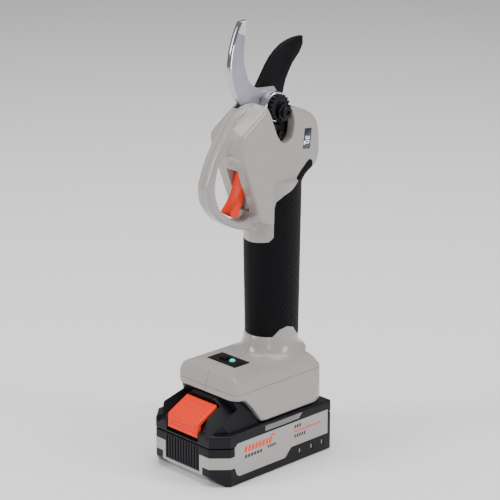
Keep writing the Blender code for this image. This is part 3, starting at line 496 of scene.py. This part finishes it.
def inwards(points, distance):
    """A counter-clockwise outline moved inwards, corner by corner."""
    moved = []
    for before, here, after in zip(points[-1:] + points[:-1], points, points[1:] + points[:1]):
        sides = (Vector(here) - Vector(before), Vector(after) - Vector(here))
        normals = [Vector((-side.y, side.x)).normalized() for side in sides]
        middle = (normals[0] + normals[1]).normalized()
        moved.append(tuple(Vector(here) + middle * distance / middle.dot(normals[0])))
    return moved


def melt(target, voxel, passes):
    """Fuses a blank to an even skin and eases its corners, as draft and fillets do in a mould."""
    skin = target.modifiers.new("skin", "REMESH")
    skin.mode = "VOXEL"
    skin.voxel_size = voxel * MM
    soft = target.modifiers.new("soft", "SMOOTH")
    soft.factor = 0.5
    soft.iterations = passes
    return settle(target)


def handle(shrink, low, high):
    """The oval handle, which widens a little from the foot to the head."""
    shares = [0.93 + 0.00066 * (z - 78) for z in (low, high)]
    return bar("Z", (0, 33.7), shares[0], low, high, shares[1], (20.5 - shrink, 23 - shrink), 72)


def sweep(radii, centre_y, depth):
    """A turned concave sweep: (radius, Z) from below to above."""
    shape = bmesh.new()
    line = [shape.verts.new((0.001, 0, radii[0][1]))] + [shape.verts.new((r, 0, z)) for r, z in radii]
    line.append(shape.verts.new((0.001, 0, radii[-1][1])))
    for a, b in zip(line, line[1:]):
        shape.edges.new((a, b))
    bmesh.ops.spin(shape, geom=shape.verts[:] + shape.edges[:], cent=(0, 0, 0), axis=(0, 0, 1),
                   angle=math.tau, steps=72, use_merge=True)
    bmesh.ops.remove_doubles(shape, verts=shape.verts, dist=0.01)
    bmesh.ops.scale(shape, vec=(1, depth, 1), verts=shape.verts)
    bmesh.ops.translate(shape, vec=(0, centre_y, 0), verts=shape.verts)
    return blank(shape)


notch = ([(12.8, 282), (13.6, 273), (16, 269), (18.5, 262), (20.7, 257), (23.4, 250.5)]
         + arc((32.2, 250.6), 7.2, 205, 330, 12)
         + [(39.8, 251), (40.6, 257.5), (40.3, 262), (38, 268), (37.4, 282)])
front_edge = [(9.2, 270), (-13.2, 254.7), (-14.3, 251), (-12.8, 243.8), (-11.2, 236), (-7.4, 227),
              (-3.2, 215.6), (1.2, 204.5), (4.2, 196.5), (5.6, 190)]
keel_edge = [(9.2, 273.4), (-13.0, 260.5), (-18.6, 252.0), (-20.0, 244.5), (-13.5, 237), (-8.0, 227),
             (-3.6, 215.6), (0.6, 204), (2.0, 194.5), (4.0, 186)]
rear_edge = [(12, 184.5), (24, 181), (44, 180), (47.2, 198), (48, 205.2), (49.4, 209.7), (52, 213.6),
             (56.5, 217.2), (62.8, 220.4), (66.4, 224.4), (67.8, 230), (68, 238), (67.4, 246), (66, 253),
             (63.6, 257.4), (59.6, 261.4), (54, 264.7), (48.3, 267), (37.4, 270), (12.8, 274.6)]
guard_outer = through([(5, 274.6), (-4.8, 271), (-12.7, 263), (-19.7, 253), (-28.6, 240), (-35, 225),
                       (-36.9, 216), (-34, 204), (-24, 192), (-10, 184), (0, 180.6), (9, 179.2),
                       (16, 178.7)])
finger_hole = through([(-18.5, 240.6), (-23.5, 238.5), (-27.3, 231), (-29.8, 217), (-26, 203), (-18, 195),
                       (-8, 189.3), (-1.5, 188.4), (2.8, 190.2), (4.4, 195.5), (1.2, 204.5),
                       (-3.2, 215.6), (-7.4, 227), (-10.6, 235), (-14, 239.2)])
foot_side = [(-12, 41.2), (54.5, 41.2), (56, 46), (56.5, 60), (55, 68), (46, 80), (-21, 80),
             (-31.2, 77.6), (-36, 61), (-25, 60.4), (-19, 53)]
foot_front = [(37, 38), (36.8, 44), (30, 74.6), (27.8, 77.4), (16, 80.3)]
foot_front = [(-x, z) for x, z in foot_front] + foot_front[::-1]
foot_plan = mirrored([(25.7, -36.5), (31, -33), (34.6, -22), (37, -8), (37, 44.5), (33.5, 52.5), (28.5, 57)])


def stages(*steps):
    """A solid that runs through outlines with the same number of corners: (X, outline)."""
    shape = bmesh.new()
    rings = []
    for across, outline in steps:
        ring = [shape.verts.new((*point, across)) for point in outline]
        rings.append([shape.edges.new((a, b)) for a, b in zip(ring, ring[1:] + ring[:1])])
    for near, far in zip(rings, rings[1:]):
        bmesh.ops.bridge_loops(shape, edges=near + far)
    bmesh.ops.holes_fill(shape, edges=rings[0] + rings[-1])
    return blank(shape, TURN["X"])


head_side, keel_side = front_edge + rear_edge, keel_edge + rear_edge
head = melt(stages((-16.5, head_side), (-6, keel_side), (6, keel_side), (16.5, head_side)), 1.2, 12)
guard = ease(slab(guard_outer + [(22, 178.6), (22, 274)], -6.5, 6.5), 2.4, 4, 60)
foot = cross(slab(foot_side, -40, 40), slab(foot_front, -50, 60, "Y"), slab(foot_plan, 30, 90, "Z"))
groove_core = twin(foot)
groove_core.data.transform(Matrix.Diagonal((0.988, 0.988, 1, 1)))
groove = cut(slab([(x * 1.2, y * 1.2) for x, y in foot_plan], 65.6, 66.1, "Z"), groove_core)
ease(foot, 1.8, 4, 22)
neck = sweep([(26.5, 76), (25.6, 79.6), (23.9, 80.6), (22.4, 82.0), (21.0, 84.5), (19.9, 88), (19.2, 93)],
             32.4, 1.1)
shell = join(head, guard, handle(0, 84, 214), foot, neck)
cut(shell, slab(finger_hole, -30, 30), slab(notch, -30, 30))
melt(shell, 0.75, 8)
cut(shell, groove)

grip_loop = ([(4, 94), (20, 94), (25, 99.5), (31, 101.2), (38, 99), (44, 91.5), (62, 89), (62, 206),
              (59, 212.5), (60.2, 218)] + arc((56.6, 223.2), 3.4, 0, 130, 8)
             + [(46.5, 219), (41.3, 213.2), (34.9, 208.4), (26.4, 204.6), (21.2, 200.6), (19.8, 196),
                (19.8, 173), (17, 169.6), (4, 166.8)])
grip_skin = twin(shell)
cut(shell, cut(slab(grip_loop, -30, 30), handle(2.6, 70, 222),
               slab([(30, 196), (80, 196), (80, 240), (30, 240)], -14.2, 14.2)))

slab_room = slab([(9, 264.5), (-8.4, 252.3), (-8.7, 246), (-5, 238.5), (17.5, 238.5), (17.5, 214), (46, 214),
                  (50, 216.6), (56, 220.4), (62.6, 224.4), (65.2, 231), (65.4, 238), (64.8, 246), (63.4, 252),
                  (60.8, 256.8), (57.4, 260.6), (53, 263.2), (45, 266.4), (39, 267.4), (17, 267.4)],
                 -9.5, 9.5)
front_room = slab([(-8.4, 252), (-7.9, 244), (-4, 239.4), (12, 239), (17.5, 246), (13.5, 256), (8.8, 264.4)],
                  -13.6, 13.6)
rear_room = slab([(46, 218.5), (50, 219), (56, 222.4), (62.4, 226), (64.8, 232), (65, 238), (64.4, 246),
                  (62.8, 251), (58, 256.4), (46, 262)], -14, 14)
foot_room = cross(slab([(-32.6, 63), (-22, 62.8), (-14.5, 54.5), (-10, 49.8), (53, 49.8), (53, 66),
                        (44, 77.4), (-21, 77.4), (-29.4, 75.4)], -40, 40),
                  slab(mirrored([(29.6, 45), (29.6, 62), (26.8, 73.4), (24.8, 75.4), (14, 77.4)]),
                       -50, 60, "Y"),
                  slab(mirrored([(23, -34), (29.8, -20), (29.8, 46), (25, 53.6)]), 30, 90, "Z"))
rooms = join(slab_room, front_room, rear_room)
cut(rooms, *[bar("X", place, SCREW_BOSS, -20, 20, sides=20) for place, half in SCREWS[:3]])
cut(foot_room, *[bar("X", place, SCREW_BOSS, -40, 40, sides=20) for place, half in SCREWS[3:]])
motor_room = bar("Z", (0, 31.5), 15.6, 70, 214.5)
boss_room = bar("X", PIVOT, 11.6, -14.2, 14.2)
fixed_blade_slot = slab([(-2.5, 282), (-2.2, 272.2), (1.9, 264.7), (8, 261.9), (18, 258), (25, 270),
                         (25, 282)], -4.7, 0.4)
moving_blade_slot = slab([(6, 283), (7, 262), (20, 258), (49.6, 261), (50.5, 283)], -8.8, -4.2)
trigger_slot = slab([(-16, 227.4), (-2.2, 227.4), (-2.8, 236.6), (14, 236.6), (18.5, 233), (18.5, 216),
                     (15.5, 205.5), (9.5, 203.5), (9, 194), (-6, 194)], -5.8, 5.8)
pin_hole = bar("X", TRIGGER_AXIS, 2.1, -11.4, 11.4, sides=24)
rail_flange_room = box((-22.4, -30, 47.5), (22.4, 52.2, 56.4))
rail_neck_room = box((-18.5, -30, 38), (18.5, 52.2, 48.5))
plate_room = box((-15.3, -19.5, 70), (15.3, -3.5, 90))
cut(shell, rooms, foot_room, motor_room, boss_room, fixed_blade_slot, moving_blade_slot, trigger_slot,
    pin_hole, rail_flange_room, rail_neck_room, plate_room)
left_shell = twin(shell)
screw_holes = [bar("X", place, SCREW_HOLE, -half - 8, 9.5, sides=20) for place, half in SCREWS]
screw_wells = [bar("X", place, SCREW_WELL, -half - 9, 4 - half, sides=28) for place, half in SCREWS]


def on_display(across, up, width, height):
    """A rectangle on the display, which leans with the back of the head."""
    lean = math.radians(-7.6)
    corners = [(across + a * width / 2, up + b * height / 2) for a, b in ((-1, -1), (1, -1), (1, 1), (-1, 1))]
    return [(DISPLAY[0] + y * math.cos(lean) - z * math.sin(lean),
             DISPLAY[1] + y * math.sin(lean) + z * math.cos(lean)) for y, z in corners]


cross(shell, box(*RIGHT_SIDE))
cut(shell, *[bar("X", place, SCREW_HOLE, -8, 9.5, sides=20) for place, half in SCREWS],
    slab(on_display(0, 0, 7 + 2 * CLEAR, 15 + 2 * CLEAR), 12, 20))
cross(left_shell, box(*LEFT_SIDE))
cut(left_shell, *screw_holes, *screw_wells)
piece("right_housing_shell", shell, grey_abs, "tool", "housing", "right_housing", crease=38)
piece("left_housing_shell", left_shell, grey_abs, "tool", "housing", "left_housing", crease=38)

# ---------------------------------------------------------------- grip pads
# A soft black rubber pad is moulded over each half of the handle and up the back of the head.
# Its rear half has slanting ribs that fade out towards the front.

grip_rubber = moulded("grip_rubber", (0.0030, 0.0030, 0.0042), 0.55, grain=0.05, grain_size=0.45,
                      mottle=0.15, shine=0.1)
nodes, links = grip_rubber.node_tree.nodes, grip_rubber.node_tree.links
spot = nodes.new("ShaderNodeTexCoord")
slant = nodes.new("ShaderNodeMapping")
slant.inputs["Rotation"].default_value = (math.radians(-48), 0, 0)
ribs = nodes.new("ShaderNodeTexWave")
ribs.bands_direction = "Z"
ribs.inputs["Scale"].default_value = 100
ribs.inputs["Distortion"].default_value = 1.2
ribs.inputs["Detail"].default_value = 1
ribs.inputs["Detail Scale"].default_value = 1.5
split = nodes.new("ShaderNodeSeparateXYZ")
palm = nodes.new("ShaderNodeMapRange")
palm.inputs["From Min"].default_value = 0.024
palm.inputs["From Max"].default_value = 0.030
depth = nodes.new("ShaderNodeMath")
depth.operation = "MULTIPLY"
rib_bump = nodes.new("ShaderNodeBump")
rib_bump.inputs["Distance"].default_value = 0.35 * MM
links.new(spot.outputs["Object"], slant.inputs["Vector"])
links.new(slant.outputs["Vector"], ribs.inputs["Vector"])
links.new(spot.outputs["Object"], split.inputs["Vector"])
links.new(split.outputs["Y"], palm.inputs["Value"])
links.new(ribs.outputs["Fac"], depth.inputs[0])
links.new(palm.outputs["Result"], depth.inputs[1])
links.new(depth.outputs["Value"], rib_bump.inputs["Height"])
shader = nodes["Principled BSDF"]
links.new(shader.inputs["Normal"].links[0].from_socket, rib_bump.inputs["Normal"])
links.new(rib_bump.outputs["Normal"], shader.inputs["Normal"])

cross(grip_skin, slab(inwards(grip_loop, CLEAR), -30, 30))
cut(grip_skin, handle(2.3, 60, 224), slab([(28, 194), (80, 194), (80, 240), (28, 240)], -14.5, 14.5))
left_skin = twin(grip_skin)
cross(grip_skin, box(*RIGHT_SIDE))
cross(left_skin, box(*LEFT_SIDE))
piece("right_grip_pad", grip_skin, grip_rubber, "tool", "grip", "right_grip", crease=38)
piece("left_grip_pad", left_skin, grip_rubber, "tool", "grip", "left_grip", crease=38)

# ---------------------------------------------------------------- housing screws
# Five blackened screws with a cross-recessed pan head go in from the left side, and bite into
# plain bosses moulded in the right half.

for number, (place, half) in enumerate(SCREWS, 1):
    seat = 3.7 - half
    screw = join(bar("X", place, 1.5, seat - 0.2, 9, sides=24),
                 ease(bar("X", place, 3.2, seat - 2.4, seat, sides=32), 0.7, 3))
    for length, width in ((2.2, 0.45), (0.45, 2.2)):
        cut(screw, box((seat - 4, place[0] - length, place[1] - width),
                       (seat - 1.3, place[0] + length, place[1] + width)))
    piece(f"case_screw_{number}", screw, black_oxide, "tool", "dark_steel", f"housing_screw_{number}")

# ---------------------------------------------------------------- switch plate, button and light
# A black plate on the foot holds the power button, which clicks down on a small tact switch, and
# a domed light guide that glows blue-green when the tool is on.


def light_up(finish, colour, strength):
    """Makes a finish give its own light."""
    inputs = finish.node_tree.nodes["Principled BSDF"].inputs
    inputs["Emission Color"].default_value = colour
    inputs["Emission Strength"].default_value = strength


plate_nylon = moulded("switch_plate_nylon", (0.004, 0.004, 0.005), 0.34, grain=0.02, shine=0.15)
panel = slab([(-15, -19.2), (15, -19.2), (15, -3.8), (-15, -3.8)], 76.5, 80.5, "Z")
ease(panel, 0.5, 3)
cut(panel, box((-7.6, -14.6, 70), (-0.4, -8.4, 90)), bar("Z", (4.2, -11.5), 2.5, 70, 90),
    box((-12.6, -12.6, 80.1), (-11.8, -10.4, 81)))
piece("power_plate", panel, plate_nylon, "tool", "case", "switch_plate")
button = ease(slab([(-7.1, -14.1), (-0.9, -14.1), (-0.9, -8.9), (-7.1, -8.9)], 76.9, 82, "Z"), 0.7, 4)
cut(button, bar("Z", (-4, -11.5), 1.1, 81.8, 83))
piece("power_push_button", button, plate_nylon, "power_button", "case", "power_button")
glow = moulded("light_guide", (0.03, 0.62, 0.54), 0.22, grain=0.004)
light_up(glow, (0.04, 0.72, 0.62, 1), 0.55)
dome = ease(bar("Z", (4.2, -11.5), 2.2, 76.9, 81.7), 0.9, 5)
piece("power_light", dome, glow, "tool", "light", "status_light")

# ---------------------------------------------------------------- electronics in the foot
# The control board, the terminal block that meets the battery and the trigger's switch are
# bought-in parts. They sit in ribs in the foot and the head.

board_mask = moulded("solder_mask", (0.01, 0.10, 0.035), 0.35, grain=0.01, mottle=0.15, coat=0.2)
repaint(board_mask, "control_board", "display_module")
repaint(frame_nylon, "terminal_block", "trigger_switch")

# ---------------------------------------------------------------- motor
# A brushless motor lies in the handle. Its can is rolled and blackened steel, the end cap is
# black nylon, and the wound rotor turns on a ground shaft.

ground_steel = moulded("ground_steel", (0.42, 0.42, 0.44), 0.26, metallic=1.0, grain=0.006, stretch=(1, 1, 8))
wound_copper = moulded("wound_copper", (0.62, 0.27, 0.12), 0.38, metallic=0.9, grain=0.08,
                       stretch=(1, 1, 0.1))
repaint(black_oxide, "motor_can")
repaint(frame_nylon, "motor_end_cap")
repaint(wound_copper, "rotor_core")
repaint(ground_steel, "motor_shaft")

# ---------------------------------------------------------------- gearbox and drive shaft
# A planetary stage slows the motor. Its case is die-cast aluminium, and the gears, bearings and
# the pinion shaft are hardened steel with a thin film of grease.

cast_aluminium = moulded("cast_aluminium", (0.72, 0.72, 0.74), 0.33, metallic=1.0, grain=0.03, mottle=0.08)
repaint(cast_aluminium, "gear_case")
repaint(ground_steel, "ring_gear", "planet_carrier", "planet_gear_1", "planet_gear_2", "planet_gear_3",
        "drive_shaft", "front_bearing", "rear_bearing")

# ---------------------------------------------------------------- trigger
# The trigger is one orange moulding that swings on a steel pin. Its finger side is hollowed along
# its length and has a low ridge down the middle.

finger_side = through([(-0.9, 226.8), (-2, 219.6), (-3.4, 214), (-5.6, 208.4), (-9, 203.2), (-12.4, 199.4),
                       (-14.8, 197.2)], 3)
trigger = slab([(1.4, 232.6)] + finger_side
               + [(-14.4, 195.4), (-11, 193), (-7, 190.9), (-2.9, 199.4), (1.4, 209), (4, 215), (9, 220),
                  (12, 224), (10.6, 231), (6, 234.2)], -5.3, 5.3)
shape = bmesh.new()
shape.from_mesh(trigger.data)
bmesh.ops.bisect_plane(shape, geom=shape.verts[:] + shape.edges[:] + shape.faces[:], plane_co=(0, 0, 0),
                       plane_no=(1, 0, 0))
for vert in shape.verts:
    away = min((Vector(point) * MM - vert.co.yz).length for point in finger_side)
    if away < 1e-5 and abs(vert.co.x) > 4 * MM:
        vert.co.y += 1.1 * MM
shape.to_mesh(trigger.data)
shape.free()
ease(trigger, 0.8, 4, 28)
cut(trigger, bar("X", TRIGGER_AXIS, 2.1, -20, 20, sides=32))
piece("trigger_lever", trigger, orange_abs, "trigger", "accent", "trigger", crease=22)
repaint(ground_steel, "trigger_pin")

# ---------------------------------------------------------------- blade carrier
# A blackened steel bracket is bolted to the gearbox nose and carries the fixed blade. Two
# button-head screws hold it, and one of them goes through the blade.


def refined(name, width, finish, body, slot, node, segments=3, angle=30):
    """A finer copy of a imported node, with its edges broken."""
    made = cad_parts[node].copy()
    made.data = made.data.copy()
    made.modifiers.clear()
    made.data.materials.clear()
    for held in made.users_collection:
        held.objects.unlink(made)
    bpy.context.collection.objects.link(made)
    made.parent = None
    shape = bmesh.new()
    shape.from_mesh(made.data)
    bmesh.ops.remove_doubles(shape, verts=shape.verts, dist=1e-6)
    bmesh.ops.dissolve_limit(shape, angle_limit=math.radians(1), verts=shape.verts, edges=shape.edges)
    shape.to_mesh(made.data)
    shape.free()
    ease(made, width, segments, angle)
    return piece(name, made, finish, body, slot, node)


carrier_steel = moulded("blackened_carrier_steel", (0.006, 0.006, 0.007), 0.44, metallic=0.4, grain=0.03,
                        shine=0.3)
refined("blade_carrier", 0.35, carrier_steel, "tool", "dark_steel", "head_bracket")
for name, node, place, radius, low, high in (
        ("carrier_screw_low", "bracket_screw_1", (32.4, 248.4), 3.3, 9.4, 11.6),
        ("carrier_screw_high", "bracket_screw_2", (14.6, 260.6), 2.6, 7.1, 8.9)):
    screw = join(bar("X", place, 1.5, 0.4 if low < 9 else 6.6, low + 0.3, sides=24),
                 ease(bar("X", place, radius, low, high, sides=40), 0.8, 4))
    cut(screw, bar("X", place, radius * 0.45, high - 1, high + 1, sides=6))
    piece(name, screw, black_oxide, "tool", "dark_steel", node)

# ---------------------------------------------------------------- fixed blade
# The hooked counter blade is stamped from stainless spring steel and satin ground on its flats.
# Its back is polished to a bright bevel, and the tip is ground bright on the outer side.


def brushed(name, colour, roughness, direction, lines=0.02):
    """Ground metal: fine scratches along one direction."""
    made = moulded(name, colour, roughness, metallic=1.0, grain=lines, grain_size=0.25, mottle=0.04,
                   stretch=direction)
    made.node_tree.nodes["Principled BSDF"].inputs["Anisotropic"].default_value = 0.4
    return made


satin_steel = brushed("satin_ground_steel", (0.40, 0.39, 0.46), 0.38, (1, 1, 0.06))
mirror_steel = brushed("polished_back_steel", (0.50, 0.50, 0.56), 0.10, (1, 1, 0.05), 0.004)
bright_steel = brushed("bright_ground_tip", (0.88, 0.87, 0.92), 0.30, (1, 0.08, 1), 0.02)

back = through([(2.4, 335.2), (-1.2, 329.4), (-5.8, 317.5), (-8.4, 303), (-7, 290.5), (-2.2, 279),
                (5.4, 265.6)], 5)
inner = through([(18, 284.4), (11, 289.5), (6.6, 300), (5.2, 310), (6.4, 325), (9, 335.7)], 5)
outline = (back + [(8.4, 262.6), (14.6, 262.7), (17, 260), (21.5, 259.5)] + arc(PIVOT, 10.8, 235, 395, 20)
           + [(38.5, 279), (35.6, 283)] + inner)
tip_foot, tip_slope = Vector((0, 0.002, 0.3265)), 0.36
blade = slab(outline, -4.3, -0.3)
shape = bmesh.new()
shape.from_mesh(blade.data)
on_back = {vert for vert in shape.verts if vert.co.x > -1 * MM
           and min((Vector(point) * MM - vert.co.yz).length for point in back) < 1e-5}
back_edges = [edge for edge in shape.edges if on_back.issuperset(edge.verts)]
bmesh.ops.bevel(shape, geom=back_edges, offset=1.5 * MM, offset_type="OFFSET", affect="EDGES", segments=1,
                profile=0.5, material=-1)
bmesh.ops.bisect_plane(shape, geom=shape.verts[:] + shape.edges[:] + shape.faces[:],
                       plane_co=tip_foot, plane_no=(0, tip_slope, 1))
for face in shape.faces:
    middle = face.calc_center_median()
    if abs(face.normal.x) < 0.95:
        face.material_index = 1
    elif middle.z > tip_foot.z - tip_slope * (middle.y - tip_foot.y) and face.normal.x > 0:
        face.material_index = 2
shape.to_mesh(blade.data)
shape.free()
for finish in (satin_steel, mirror_steel, bright_steel):
    blade.data.materials.append(finish)
ease(blade, 0.18, 2, 35)
cut(blade, bar("X", PIVOT, 4.5, -10, 10, sides=64), bar("X", (18.6, 263.6), 1.8, -10, 10, sides=32))
piece("counter_blade", blade, satin_steel, "tool", "blade", "fixed_blade", crease=14)

# ---------------------------------------------------------------- moving blade
# The cutting blade is high-carbon steel with a matt black non-stick coat. Its edge is ground from
# the left, and its tail carries the face teeth that the pinion turns.

black_coat = moulded("black_blade_coat", (0.0030, 0.0030, 0.0045), 0.46, grain=0.025, grain_size=0.3,
                     shine=0.1)
refined("cutting_blade", 0.3, black_coat, "moving_blade", "coated", "moving_blade", 2)

# ---------------------------------------------------------------- blade bolt, boss, nut and lock
# The bolt goes through both blades into a bright turned boss. A toothed nut sets the play, and a
# wavy lock plate under a button-head screw keeps it from turning.


def lathe(profile, axis, centre, steps=72):
    """A closed (radius, height) profile turned about an axis."""
    shape = bmesh.new()
    ring = [shape.verts.new((radius, 0, height)) for radius, height in profile]
    for a, b in zip(ring, ring[1:] + ring[:1]):
        shape.edges.new((a, b))
    bmesh.ops.spin(shape, geom=shape.verts[:] + shape.edges[:], cent=(0, 0, 0), axis=(0, 0, 1),
                   angle=math.tau, steps=steps, use_merge=True)
    bmesh.ops.remove_doubles(shape, verts=shape.verts, dist=1e-4)
    bmesh.ops.translate(shape, vec=(*centre, 0), verts=shape.verts)
    return blank(shape, TURN[axis])


turned_steel = brushed("turned_bright_steel", (0.80, 0.80, 0.84), 0.24, (0.05, 1, 1), 0.01)
bolt = join(bar("X", PIVOT, 4.2, -9.2, 11.6), ease(bar("X", PIVOT, 8, -12.4, -8.7, sides=6), 0.5, 3))
cut(bolt, bar("X", PIVOT, 2.2, 10.6, 13, sides=6))
piece("blade_bolt", bolt, black_oxide, "tool", "dark_steel", "pivot_bolt")
boss = lathe([(11.2, 6.6), (11.2, 0.9), (10.9, 0.6), (10.9, 0), (4.5, 0), (4.5, 7.2), (10.6, 7.2)],
             "X", PIVOT)
piece("blade_boss", boss, turned_steel, "tool", "blade", "pivot_boss", crease=25)

teeth = []
for number in range(18):
    for offset, radius in ((-7, 8.5), (-4, 10), (4, 10), (7, 8.5)):
        angle = math.radians(20 * number + offset)
        teeth.append((PIVOT[0] + radius * math.cos(angle), PIVOT[1] + radius * math.sin(angle)))
nut = ease(slab(teeth, 7.5, 10.8), 0.35, 2, 35)
cut(nut, bar("X", PIVOT, 4.5, 0, 20))
piece("toothed_nut", nut, black_oxide, "tool", "dark_steel", "pivot_nut")

cap = (34.0, 265.6)
wave = []
for number in range(72):
    angle = math.radians(5 * number)
    radius = 6.55 + 0.35 * math.cos(9 * angle)
    wave.append((cap[0] + radius * math.cos(angle), cap[1] + radius * math.sin(angle)))
lock_wave = ease(slab(wave, 12, 13.6), 0.3, 2, 50)
piece("nut_lock_plate", lock_wave, black_oxide, "tool", "dark_steel", "lock_plate")
lock = ease(bar("X", cap, 4.6, 13.9, 15.9, sides=56), 1.0, 5)
cut(lock, bar("X", cap, 2.0, 14.8, 17, sides=6))
piece("lock_button_screw", lock, black_oxide, "tool", "dark_steel", "lock_screw")

# ---------------------------------------------------------------- display
# A small lit display under a dark glass shows the charge left as a plain number beside a battery
# sign. Both read down the side of the head.

dark_glass = moulded("display_glass", (0.03, 0.035, 0.05), 0.08, grain=0.001, coat=0.5)
glass = ease(slab(on_display(0, 0, 7, 15), 14.4, 16.1), 0.25, 2)
piece("display_glass", glass, dark_glass, "tool", "lens", "display_window")
lit = moulded("lit_segments", (0.55, 0.80, 1.0), 0.3, grain=0.001)
light_up(lit, (0.45, 0.75, 1.0, 1), 1.2)


def lit_box(across, down, width, height):
    """A lit patch on the glass: across is towards the back and down is towards the foot."""
    return slab(on_display(across, -down, width, height), 16.1, 16.2)


SEGMENTS = {"top": (3.6, 0, 0.6, 1.8), "middle": (1.8, 0, 0.6, 1.8), "bottom": (0.0, 0, 0.6, 1.8),
            "right_high": (2.7, 0.9, 2.0, 0.6), "right_low": (0.9, 0.9, 2.0, 0.6),
            "left_high": (2.7, -0.9, 2.0, 0.6), "left_low": (0.9, -0.9, 2.0, 0.6)}
digits = None
for start, names in ((0.2, ("top", "middle", "bottom", "right_high", "right_low")),
                     (3.6, ("top", "bottom", "right_high", "right_low", "left_high", "left_low"))):
    for name in names:
        across, down, width, height = SEGMENTS[name]
        one = lit_box(across - 1.2, down + start - 1.0, width, height)
        digits = one if digits is None else join(digits, one)
join(digits, lit_box(-2.2, 3.4, 1.2, 2.6))
piece("display_digits", digits, lit, "tool", "light")
